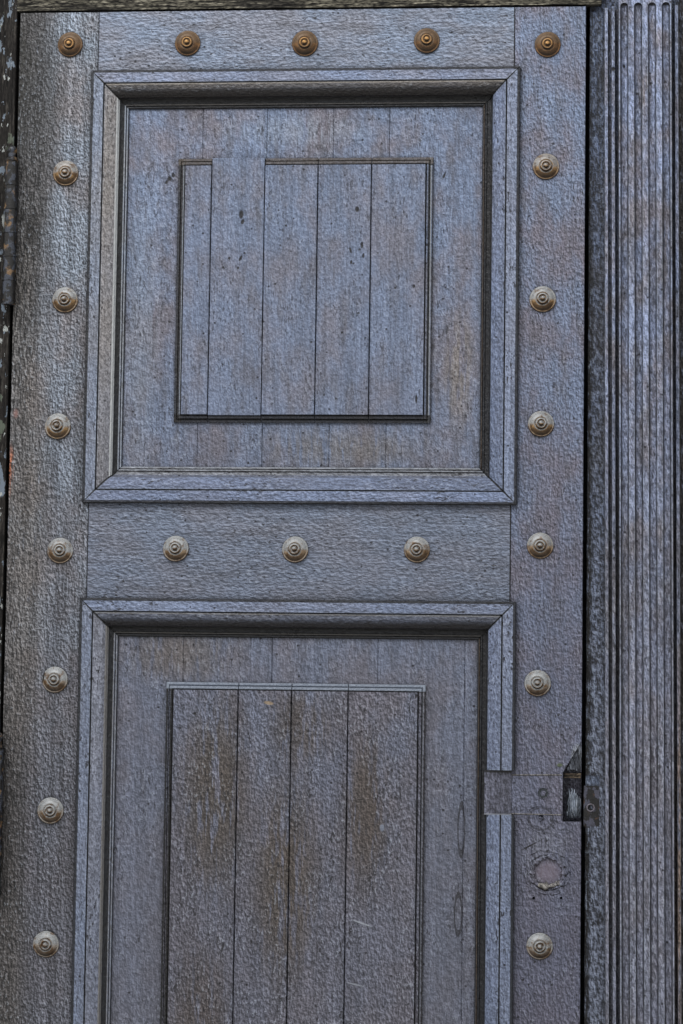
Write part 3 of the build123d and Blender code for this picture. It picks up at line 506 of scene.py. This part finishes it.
def weatheredTimber(name, upright=True, flakes=(), **changes):
    look = dict(weatheredWood, **changes)
    material, tree, place = newMaterial(name)
    grain = grained(tree, place, upright, look["grainMm"], look["stretch"], 4.0, 0.65)
    fine = grained(tree, place, upright, look["fineMm"], 4, 2.0)
    patches = grained(tree, place, upright, look["patchMm"], 4, 3.0, 0.6)
    splits = (grained(tree, place, upright, look["splitMm"], 14, 2.0), look["split"], look["split"] - 0.05)
    colour = layered(tree, linear(look["mid"]), [
        (look["dark"], 1.0, (patches, 0.40, 0.62)),
        (look["light"], 0.85, (grain, 0.50, 0.64))])
    colour = toned(tree, colour, [(fine, 0.32, 0.68, 1 - look["contrast"], 1 + look["contrast"])])
    colour = layered(tree, colour, [(look["crack"], 0.95, splits)])
    deep = [(grain, 1.0), (fine, 0.5), (splits, -0.9)]
    for coat in flakes:
        # Thin remains of an old coat of paint, on the street face only
        remains = (grained(tree, place, upright, coat["size"], 2.2, 5.0, 0.62), coat["from"], coat["from"] + 0.02)
        colour = layered(tree, colour, [(coat["colour"], 0.95, remains, facing(tree, "Y", -0.3, -0.8))])
    colour = layered(tree, colour, [
        (look["crack"], look["shade"], crevices(tree, 14, 0.88, 0.42)),
        (look["gap"], look["shade"], crevices(tree, 4, 0.80, 0.52))])
    finishMaterial(tree, colour, look["roughness"], heights(tree, deep), look["depth"],
                   Specular_IOR_Level=look["specular"])
    return material


headWood = weatheredTimber("weathered_head_timber", upright=False, light="#8b8678", mid="#4b483f", dark="#2a2824",
                           contrast=0.95, split=0.44)
jambWood = weatheredTimber("flaking_jamb_timber", light="#46433f", mid="#282523", dark="#131110", flakes=(
    {"size": 16, "from": 0.57, "colour": "#77828f"}, {"size": 11, "from": 0.60, "colour": "#b4b8b6"},
    {"size": 19, "from": 0.62, "colour": "#5f665b"}))
stopWood = weatheredTimber("dark_stop_timber", light="#4a4a50", mid="#33343a", dark="#1f1f22")
sillWood = weatheredTimber("worn_sill_timber", upright=False, light="#857d70", mid="#5d564c", dark="#38332d")
# Recessed strip of the post: its dark colours are partly its own dirty paint and partly painted shade of the recess,
# the black stripe along the leaf's edge is the gap with its painted shadow, and the glints are painted highlights
recessPaint = paintedTimber(
    "recess_rough_paint", cool="#525d74", warm="#373a45", dull="#1f2024", foot="#6a7080", footShare=0.85,
    sparkle=0.6, glints=0.5, glint="#8e9aab", skinStretch=1.8, skin=4.0, skinMm=4.4, ledges=0.65, dots=0.9,
    stains=[{"x": 383, "down": 1000, "w": 10, "h": 1400, "share": 1.0, "colour": "#121214", "core": 0.5, "grain": 3},
            {"x": 520, "down": 900, "w": 40, "h": 1400, "share": 1.0, "colour": "#2c2826", "core": 0.8, "grain": 6}])
# Fluted pilaster: the walls of its flutes are darkened as painted shade, and its corners by dirt with painted shade
pilasterPaint = paintedTimber(
    "pilaster_oil_paint", cool="#8490ae", warm="#7a7884", dull="#625c58", foot="#797985", footShare=0.75,
    streak=0.25, sparkle=0.35, glints=0.35, edges=0.9, walls=0.72, dirt=0.95, reach=6, mottleMm=34,
    dashes=0.7, skinStretch=2.4,
    stains=[{"x": 455, "down": 110, "w": 16, "h": 90, "share": 0.9, "colour": "#5c5148", "grain": 4},
            {"x": 478, "down": 330, "w": 14, "h": 130, "share": 0.8, "colour": "#5d544c", "grain": 4},
            {"x": 430, "down": 800, "w": 30, "h": 260, "share": 0.6, "colour": "#5a5450", "grain": 5},
            {"x": 505, "down": 1100, "w": 12, "h": 400, "share": 0.8, "colour": "#846c56", "grain": 4}],
    marks=[{"x": 413.7, "down": 86.7, "w": 4, "h": 3.5, "sunk": 1.5},
           {"x": 428, "down": 85.6, "w": 2.5, "h": 3.5, "sunk": 1.2},
           {"x": 463, "down": 108.5, "w": 3, "h": 3, "sunk": 1.2},
           {"x": 489, "down": 545, "w": 6, "h": 8, "sunk": 1.4, "core": 0.2}])
wear("head", headWood)
wear("left_jamb", jambWood)
for name in ("left_stop", "right_stop", "head_stop"):
    wear(name, stopWood)
wear("sill", sillWood)
wear("right_post", recessPaint)
packingPaint = paintedTimber("packing_block_paint", cool="#5f6a80", warm="#565d6e", foot="#566074", sparkle=0.3)
wear("keeper_packing", packingPaint)
wear("pilaster", pilasterPaint)
print("frame timbers finished")


# Metal: turned brass left outdoors. It is ochre to copper brown with a grey bloom on what faces up.
# Its pitting is a few tenths of a millimetre wide and drawn coarser, at fineMm, so that it shows.

brassLook = {
    "metal": "#9f7f55", "copper": "#7d5a36", "tarnish": "#4c341d", "bloom": "#96999b", "dirt": "#100d0a",
    "boss": "#c8985a", "shade": "#463422", "browned": "#5b4a37",
    "metallic": 0.3, "roughness": 0.42, "depth": 0.35, "cloudMm": 7, "fineMm": 1.3,
    "split": {"x": -325, "down": 888, "w": 1.3, "h": 10, "turn": 8},  # one head of the hinge stile has cracked
}


def agedBrass(name):
    look = brassLook
    material, tree, place = newMaterial(name)
    cloud = grained(tree, place, True, look["cloudMm"], 1, 3.0)
    fine = grained(tree, place, True, look["fineMm"], 1, 3.0)
    lowRows = across(tree, place, "Z", down(60), down(260))
    upper = facing(tree, "Z", -0.14, 0.08)
    colour = layered(tree, linear(look["copper"]), [
        (look["metal"], 1.0, lowRows),
        (look["tarnish"], 0.8, (cloud, 0.42, 0.62)),
        (look["bloom"], 0.95, upper, lowRows, (cloud, 0.74, 0.50)),
        (look["bloom"], 0.6, across(tree, place, "Z", down(500), down(1000)), (cloud, 0.60, 0.44)),
        (look["browned"], 0.8, upper, (lowRows, 0.9, 0.2)),
        (look["boss"], 0.75, across(tree, place, "Y", -0.0086, -0.0104), (lowRows, 0.95, 0.5)),
        # Painted shade on the lower half and underside of each head, and dirt with painted shade in the crevices
        # round boss and rim; the last dark mark is the cracked head's split
        (look["shade"], 0.85, facing(tree, "Z", -0.06, -0.40)),
        (look["dirt"], 0.8, facing(tree, "Z", -0.40, -0.80)),
        (look["dirt"], 1.0, crevices(tree, 4, 0.90, 0.58)),
        (look["dirt"], 1.0, (nearMark(tree, place, look["split"]), 1.0, 0.6))])
    colour = toned(tree, colour, [(fine, 0.3, 0.7, 0.7, 1.3)])
    rough = (fine, 0.3, 0.7, look["roughness"] - 0.08, look["roughness"] + 0.2)
    finishMaterial(tree, colour, rough, heights(tree, [(fine, 1.0), (cloud, 0.8)]), look["depth"],
                   Metallic=look["metallic"])
    return material


# Forged iron under old paint: chipped, with ochre and rust spots and a dull sheen. The grain of the
# rust is drawn coarser than it is too.

ironLook = {"gap": "#080707", "chipMm": 7, "spotMm": 12, "fineMm": 1.6, "depth": 0.5}


def oldIron(name, **changes):
    look = dict(ironLook, **changes)
    material, tree, place = newMaterial(name)
    chip = (grained(tree, place, True, look["chipMm"], 1.5, 4.0), look["chipped"], look["chipped"] + 0.05)
    spots = (grained(tree, place, True, look["spotMm"], 1, 4.0), 0.56, 0.66)
    fine = grained(tree, place, True, look["fineMm"], 1, 3.0)
    # Bare chips and rust spots, and dirt with painted shade in the crevices
    colour = layered(tree, linear(look["paint"]), [
        (look["bare"], 1.0, chip), (look["rust"], 0.9, spots), (look["gap"], 0.95, crevices(tree, 5, 0.84, 0.5))])
    colour = toned(tree, colour, [(fine, 0.3, 0.7, 0.65, 1.35)])
    rough = (fine, 0.3, 0.7, look["roughness"] - 0.1, look["roughness"] + 0.25)
    finishMaterial(tree, colour, rough, heights(tree, [(fine, 0.6), (chip, -0.6)]), look["depth"])
    return material


brass = agedBrass("aged_turned_brass")
hingeIron = oldIron("painted_hinge_iron", paint="#3a3f4a", bare="#0d0c0c", rust="#7d6242",
                    roughness=0.34, chipped=0.43)
rustyIron = oldIron("rusty_iron", paint="#38302e", bare="#231d1b", rust="#4e3a30", roughness=0.65, chipped=0.5)
keeperIron = oldIron("rusty_keeper_iron", paint="#4b4c5a", bare="#0d0c0d", rust="#553e31",
                     roughness=0.55, chipped=0.46)
rimIron = oldIron("worn_rim_iron", paint="#7b7781", bare="#4a4446", rust="#5b4a40", roughness=0.5, chipped=0.6)
for name in nodes:
    if "_hinge_" in name:
        wear(name, hingeIron)
    if "screws" in name:
        wear(name, rustyIron)
wear("keeper", keeperIron)
print("metals finished")


def makePiece(name, bm, material, body, smooth=True):
    # Turns a finished shape into a piece of the scene that rides on the frame or the leaf
    bmesh.ops.recalc_face_normals(bm, faces=bm.faces)
    mesh = bpy.data.meshes.new(name)
    bm.to_mesh(mesh)
    bm.free()
    for polygon in mesh.polygons:
        polygon.use_smooth = smooth
    mesh.materials.append(material)
    piece = bpy.data.objects.new(name, mesh)
    bpy.context.scene.collection.objects.link(piece)
    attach(piece, body)
    return piece


def joinInto(bm, part):
    # Adds a small finished shape to a larger one
    mesh = bpy.data.meshes.new("part")
    part.to_mesh(mesh)
    part.free()
    bm.from_mesh(mesh)
    bpy.data.meshes.remove(mesh)


# Studs, turned in one piece: rim, swelling dome, boss with a ring, and nipple

stud = {
    "profile": (  # pairs of radius and height
        (17.4, -0.3), (17.5, 1.2), (17.0, 2.2), (16.2, 2.4), (15.5, 2.2), (14.8, 3.0), (13.6, 4.2), (12.0, 5.4),
        (10.2, 6.4), (8.8, 6.7), (8.0, 6.1), (7.5, 6.4), (7.4, 8.2), (6.9, 9.3), (5.8, 9.8), (4.8, 9.4), (4.2, 8.5),
        (3.3, 8.7), (2.9, 10.4), (2.2, 11.6), (1.0, 11.9), (0.0, 11.9)),
    "steps": 40, "smallest": 0.97, "dents": 3, "dent": (0.2, 0.7), "dentRadius": 12, "tilt": 0.05,
}


def studCentres(node):
    # The heads stand on the leaf's face: each nipple's flat end gives one centre
    bm = bmesh.new()
    bm.from_mesh(nodes[node].data)
    bmesh.ops.remove_doubles(bm, verts=bm.verts, dist=0.00001)
    tips = [v.co for v in bm.verts if v.co.y < -11.5 * mm]
    centres = []
    for tip in tips:
        if all((tip - c).length > 0.02 for c in centres):
            near = [t for t in tips if (t - tip).length < 0.02]
            centres.append(sum(near, Vector()) / len(near))
    bm.free()
    return centres


def turnedStuds(node, seed):
    chance = random.Random(seed)
    whole = bmesh.new()
    for centre in sorted(studCentres(node), key=lambda c: (round(c.x, 2), c.z)):
        size = chance.uniform(stud["smallest"], 1.0)
        one = bmesh.new()
        start = [one.verts.new((radius * mm * size, -height * mm, 0)) for radius, height in stud["profile"]]
        edges = [one.edges.new(pair) for pair in zip(start, start[1:])]
        bmesh.ops.spin(one, geom=start + edges, cent=(0, 0, 0), axis=(0, 1, 0), dvec=(0, 0, 0),
                       angle=math.tau, steps=stud["steps"], use_merge=True)
        bmesh.ops.remove_doubles(one, verts=one.verts, dist=0.00002)
        dents = [(chance.uniform(0, math.tau), chance.uniform(*stud["dent"])) for _ in range(stud["dents"])]
        for v in one.verts:
            around = math.atan2(v.co.z, v.co.x)
            outwards = min(1, v.co.xz.length / (stud["dentRadius"] * mm))
            for at, depth in dents:
                v.co.y += depth * mm * max(0, math.cos(around - at)) ** 12 * outwards
        leanX, leanZ = (Matrix.Rotation(chance.uniform(-stud["tilt"], stud["tilt"]), 4, turn) for turn in "XZ")
        place = Matrix.Translation((centre.x, 0, centre.z)) @ leanX @ leanZ
        bmesh.ops.transform(one, matrix=place, verts=one.verts)
        joinInto(whole, one)
    piece = makePiece("turned_" + node, whole, brass, "leaf")
    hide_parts(node)


turnedStuds("stile_studs", 3)
turnedStuds("rail_studs", 8)
print("studs turned")


# Broken wood in the lock notch, paint ridges round the lost rose and stud, filler along the patch

def roughened(verts, amount, chance):
    # Moves every corner a little, amount in millimetres at most
    for v in verts:
        v.co += Vector([chance.uniform(-amount, amount) * mm for _ in range(3)])


def splinter(bm, foot, tip, width, chance):
    # A sliver of wood from foot to tip, points as x, depth and down, thin at the tip
    start = Vector((foot[0] * mm, foot[1] * mm, down(foot[2])))
    end = Vector((tip[0] * mm, tip[1] * mm, down(tip[2])))
    span = end - start
    sliver = bmesh.new()
    bmesh.ops.create_cone(sliver, cap_ends=True, segments=5, radius1=width * mm / 2, radius2=width * mm / 8,
                          depth=span.length)
    longEdges = [e for e in sliver.edges if abs(e.verts[0].co.z - e.verts[1].co.z) > span.length / 2]
    bmesh.ops.subdivide_edges(sliver, edges=longEdges, cuts=5)
    sway = chance.uniform(0, math.tau)
    for v in sliver.verts:
        v.co.x += math.sin(v.co.z / span.length * 5 + sway) * width * 0.22 * mm
        v.co.y *= 0.7
    turn = span.to_track_quat("Z", "Y").to_matrix().to_4x4()
    bmesh.ops.transform(sliver, matrix=Matrix.Translation((start + end) / 2) @ turn, verts=sliver.verts)
    roughened(sliver.verts, width * 0.06, chance)
    joinInto(bm, sliver)


brokenWood = {
    "facet": {"count": 21, "x": (356, 377), "down": (962, 998)},
    "lump": {"count": 26, "x": (360, 376.5), "down": (1020, 1062)},
    "bar": {"x": (355.5, 377), "depth": (4, 10), "down": (1004.5, 1010)},
}


def brokenNotch():
    chance = random.Random(21)
    torn = bmesh.new()
    spec = brokenWood["facet"]
    for number in range(spec["count"]):
        share = (number + 0.5) / spec["count"]
        x = spec["x"][0] + share * (spec["x"][1] - spec["x"][0])
        top = 1001 - share * 38 + chance.uniform(-2, 3)
        foot = 1001 - chance.uniform(0, 4)
        if foot - top > 6:
            splinter(torn, (x, 5.5, foot), (x + chance.uniform(-1, 1.5), 1.8, top + 2),
                     chance.uniform(2.0, 3.6), chance)
    makePiece("torn_edge_splinters", torn, tornWood, "leaf", smooth=False)
    lump = bmesh.new()
    spec = brokenWood["lump"]
    for number in range(spec["count"]):
        x = chance.uniform(*spec["x"])
        depth = 16 - 9 * math.cos((x - 368.5) / 9 * 1.4) + chance.uniform(0, 3)
        top = spec["down"][0] + abs(x - 367) * 1.3 + chance.uniform(0, 8)
        foot = spec["down"][1] - chance.uniform(0, 7)
        splinter(lump, (x, depth, foot), (x + chance.uniform(-2, 1.0), depth + 2, top),
                 chance.uniform(2.4, 4.4), chance)
    makePiece("frayed_fibre_lump", lump, frayedWood, "leaf")
    bar = bmesh.new()
    spec = brokenWood["bar"]
    made = bmesh.ops.create_cube(bar, size=1)
    spans = [[a * mm for a in spec["x"]], [a * mm for a in spec["depth"]], [down(a) for a in reversed(spec["down"])]]
    scale = Matrix.Diagonal([high - low for low, high in spans] + [1])
    middle = Matrix.Translation([(low + high) / 2 for low, high in spans])
    bmesh.ops.transform(bar, matrix=middle @ scale, verts=made["verts"])
    bmesh.ops.subdivide_edges(bar, edges=bar.edges, cuts=6, use_grid_fill=True)
    roughened(bar.verts, 0.5, chance)
    makePiece("splintered_bar", bar, brownWood, "leaf", smooth=False)


def paintRidge(bm, centre, radius, size, chance, arc=(0, 360), waves=9, proud=0.8):
    # Lumpy ridge of thick paint along a circle on the face of the leaf, fading at the ends of its arc.
    # The arc is in degrees clockwise from the right, proud is the ridge's height as a share of its width.
    ridge = bmesh.new()
    section = bmesh.ops.create_circle(ridge, segments=8, radius=size * mm)
    for v in section["verts"]:
        v.co = Vector((v.co.x + radius * mm, v.co.y * proud, 0))
    sweep = math.radians(arc[1] - arc[0])
    whole = arc[1] - arc[0] >= 360
    bmesh.ops.spin(ridge, geom=section["verts"] + list(ridge.edges), cent=(0, 0, 0), axis=(0, 1, 0),
                   dvec=(0, 0, 0), angle=sweep, steps=72, use_merge=whole)
    if not whole:
        bmesh.ops.holes_fill(ridge, edges=[e for e in ridge.edges if e.is_boundary], sides=0)
    phase = [chance.uniform(0, math.tau) for _ in range(3)]
    for v in ridge.verts:
        around = -math.atan2(v.co.z, v.co.x) % math.tau
        out = Vector((math.cos(around), 0, -math.sin(around)))
        lumps = 0.75 + 0.3 * math.sin(waves * around + phase[0]) + 0.2 * math.sin(2.3 * waves * around + phase[1])
        if not whole:
            lumps *= max(0.12, math.sin(math.pi * min(1, around / sweep)) ** 0.6)
        wander = 1 + 0.05 * math.sin(3 * around + phase[2])
        v.co = out * radius * mm * wander + (v.co - out * radius * mm) * lumps
    turn = Matrix.Rotation(math.radians(arc[0]), 4, "Y")
    place = Matrix.Translation((centre[0] * mm, 0, down(centre[1])))
    bmesh.ops.transform(ridge, matrix=place @ turn, verts=ridge.verts)
    joinInto(bm, ridge)


# Freshly broken softwood is pale and fibrous, the old splinter above it has browned
tornWood = weatheredTimber("torn_grey_wood", light="#9298a3", mid="#666b75", dark="#34353a",
                           grainMm=1.6, contrast=0.5, shade=0.15)
frayedWood = weatheredTimber("frayed_wood_fibre", light="#c3ccd8", mid="#8b95a3", dark="#525963",
                             grainMm=1.6, contrast=0.5, shade=0.2)
brownWood = weatheredTimber("brown_splinter_wood", upright=False, light="#7c6f60", mid="#4c4238",
                            dark="#2c2622", shade=0.5)
brokenNotch()

thickPaint = {
    "rose": (336, 1132),  # centre of the wrinkled ring, x and down, with the radius, size and arc of each ridge
    "roseRidges": (
        (20, 4.2, (150, 262)), (20.5, 3.8, (225, 345)), (20, 4.2, (305, 410)), (21, 3.6, (10, 75)),
        (21, 3.8, (110, 190)), (26, 2.4, (196, 290)), (28.5, 2.2, (262, 352)), (27, 2.0, (338, 410)),
        (27, 2.4, (130, 210)), (31, 1.8, (215, 262)), (27, 2.4, (52, 128))),
    "lostStud": (326.5, 1063), "studArcs": ((150, 300), (285, 420), (60, 160)),
    "plug": (329, 1030),
    "lip": (336, 1131),
    "fillerLines": (((286, 1007.5), (353, 1006.5), 2.2), ((286, 1057), (353, 1057.5), 2.0)),
}
ridges = bmesh.new()
ridgeChance = random.Random(5)
for radius, size, arc in thickPaint["roseRidges"]:
    paintRidge(ridges, thickPaint["rose"], radius, size, ridgeChance, arc=arc, waves=8, proud=0.45)
for arc in thickPaint["studArcs"]:
    paintRidge(ridges, thickPaint["lostStud"], 17.5, 1.2, ridgeChance, arc=arc, waves=5)
paintRidge(ridges, thickPaint["lostStud"], 1.5, 2.2, ridgeChance, waves=3)
paintRidge(ridges, thickPaint["plug"], 7.0, 1.0, ridgeChance, waves=4)
makePiece("paint_ridges", ridges, lockPaint, "leaf")
lip = bmesh.new()
paintRidge(lip, thickPaint["lip"], 18.5, 5.4, ridgeChance, arc=(30, 150), waves=6, proud=0.5)
lipPaint = paintedTimber("thick_yellowed_paint", cool="#84838a", warm="#827e78", foot="#7c7872",
                         footShare=0.7, sparkle=0.4)
makePiece("thick_paint_lip", lip, lipPaint, "leaf")


def fillerBead(bm, start, end, width, proud, chance):
    # Uneven line of filler along a joint of the patch, from start to end as x and down
    line = bmesh.new()
    bmesh.ops.create_cube(line, size=1)
    longEdges = [e for e in line.edges if abs(e.verts[0].co.x - e.verts[1].co.x) > 0.5]
    bmesh.ops.subdivide_edges(line, edges=longEdges, cuts=26)
    length = end[0] - start[0]
    for v in line.verts:
        share = v.co.x + 0.5
        swell = 0.4 + 0.6 * abs(math.sin(share * 13 + 1)) * chance.uniform(0.6, 1.0)
        front = v.co.y < 0
        v.co = Vector(((start[0] + share * length) * mm, -proud * mm * swell if front else 0.4 * mm,
                       down(start[1] + share * (end[1] - start[1])) + v.co.z * width * mm * (0.35 if front else 1.0)))
    joinInto(bm, line)


filler = bmesh.new()
fillerChance = random.Random(9)
for start, end, width in thickPaint["fillerLines"]:
    fillerBead(filler, start, end, width, 0.9, fillerChance)
makePiece("filler_lines", filler, lipPaint, "leaf")

keeperRim = {"radius": 4.6, "thick": 0.9, "across": 9, "down": 28}  # the hole's place in from the plate's corner
keeperRing = bmesh.new()
made = bmesh.ops.create_circle(keeperRing, segments=8, radius=keeperRim["thick"] * mm)
for v in made["verts"]:
    v.co = Vector((v.co.x + keeperRim["radius"] * mm, v.co.y, 0))
bmesh.ops.spin(keeperRing, geom=made["verts"] + list(keeperRing.edges), cent=(0, 0, 0), axis=(0, 1, 0),
               dvec=(0, 0, 0), angle=math.tau, steps=32, use_merge=True)
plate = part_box("keeper")
bmesh.ops.translate(keeperRing, verts=keeperRing.verts, vec=(
    plate[0].x + keeperRim["across"] * mm, plate[0].y, plate[1].z - keeperRim["down"] * mm))
makePiece("keeper_hole_rim", keeperRing, rimIron, "frame")
print("broken and thick-painted places made")


# Floor, light and camera

studioLight = {
    "ambient": 0.5,
    "lamps": {
        "overhead": {"size": (2.6, 1.4), "watts": 92, "at": (-0.9, -2.0, 4.3), "aim": (0.0, 0.0, 1.3)},
    },
}


def studio():
    # Pale floor, soft light from above, and a background that the camera sees as white
    floorMesh = bpy.data.meshes.new("floor")
    bm = bmesh.new()
    bmesh.ops.create_grid(bm, x_segments=1, y_segments=1, size=12)
    bm.to_mesh(floorMesh)
    bm.free()
    floor = bpy.data.objects.new("floor", floorMesh)
    bpy.context.scene.collection.objects.link(floor)
    material, tree = newMaterial("pale_floor")[:2]
    shader = addNode(tree, "ShaderNodeBsdfPrincipled", {"Base Color": linear("#e4e4e2"), "Roughness": 0.9})
    addNode(tree, "ShaderNodeOutputMaterial", {"Surface": shader})
    floorMesh.materials.append(material)

    world = bpy.data.worlds.new("studio")
    bpy.context.scene.world = world
    world.use_nodes = True
    tree = world.node_tree
    tree.nodes.clear()
    seen = addNode(tree, "ShaderNodeLightPath", out="Is Camera Ray")
    for name in ("Is Glossy Ray", "Is Transmission Ray"):
        also = addNode(tree, "ShaderNodeLightPath", out=name)
        seen = addNode(tree, "ShaderNodeMath", {0: seen, 1: also}, operation="MAXIMUM")
    strength = addNode(tree, "ShaderNodeMapRange", {"Value": seen, "To Min": studioLight["ambient"], "To Max": 1.0})
    shader = addNode(tree, "ShaderNodeBackground", {"Color": (1, 1, 1, 1), "Strength": strength})
    addNode(tree, "ShaderNodeOutputWorld", {"Surface": shader})

    for name, spec in studioLight["lamps"].items():
        lamp = bpy.data.lights.new(name, "AREA")
        lamp.shape = "RECTANGLE"
        lamp.size, lamp.size_y = spec["size"]
        lamp.energy = spec["watts"]
        lampObject = bpy.data.objects.new(name, lamp)
        lampObject.location = spec["at"]
        aim = Vector(spec["aim"]) - Vector(spec["at"])
        lampObject.rotation_euler = aim.to_track_quat("-Z", "Y").to_euler()
        bpy.context.scene.collection.objects.link(lampObject)


def photoCamera():
    # Lens and angle worked out from the straight edges of the leaf in the photograph
    lens = {"pixels": 2600, "yaw": 5.297, "pitch": 4.745, "roll": -0.782,
            "at": (0.3763, -3.3675, leafTop - 0.950)}
    camera = bpy.data.cameras.new("photo_camera")
    camera.sensor_width = 36
    camera.lens = lens["pixels"] / 1024 * 36
    turn = (Matrix.Rotation(math.radians(lens["yaw"]), 4, "Z")
            @ Matrix.Rotation(math.radians(lens["pitch"]), 4, "X")
            @ Matrix.Rotation(math.radians(lens["roll"]), 4, "Y")
            @ Matrix.Rotation(math.radians(90), 4, "X"))
    cameraObject = bpy.data.objects.new("photo_camera", camera)
    cameraObject.matrix_world = Matrix.Translation(lens["at"]) @ turn
    bpy.context.scene.collection.objects.link(cameraObject)
    bpy.context.scene.camera = cameraObject


studio()
photoCamera()
bpy.context.scene.view_settings.view_transform = "Standard"
print("studio and camera set")
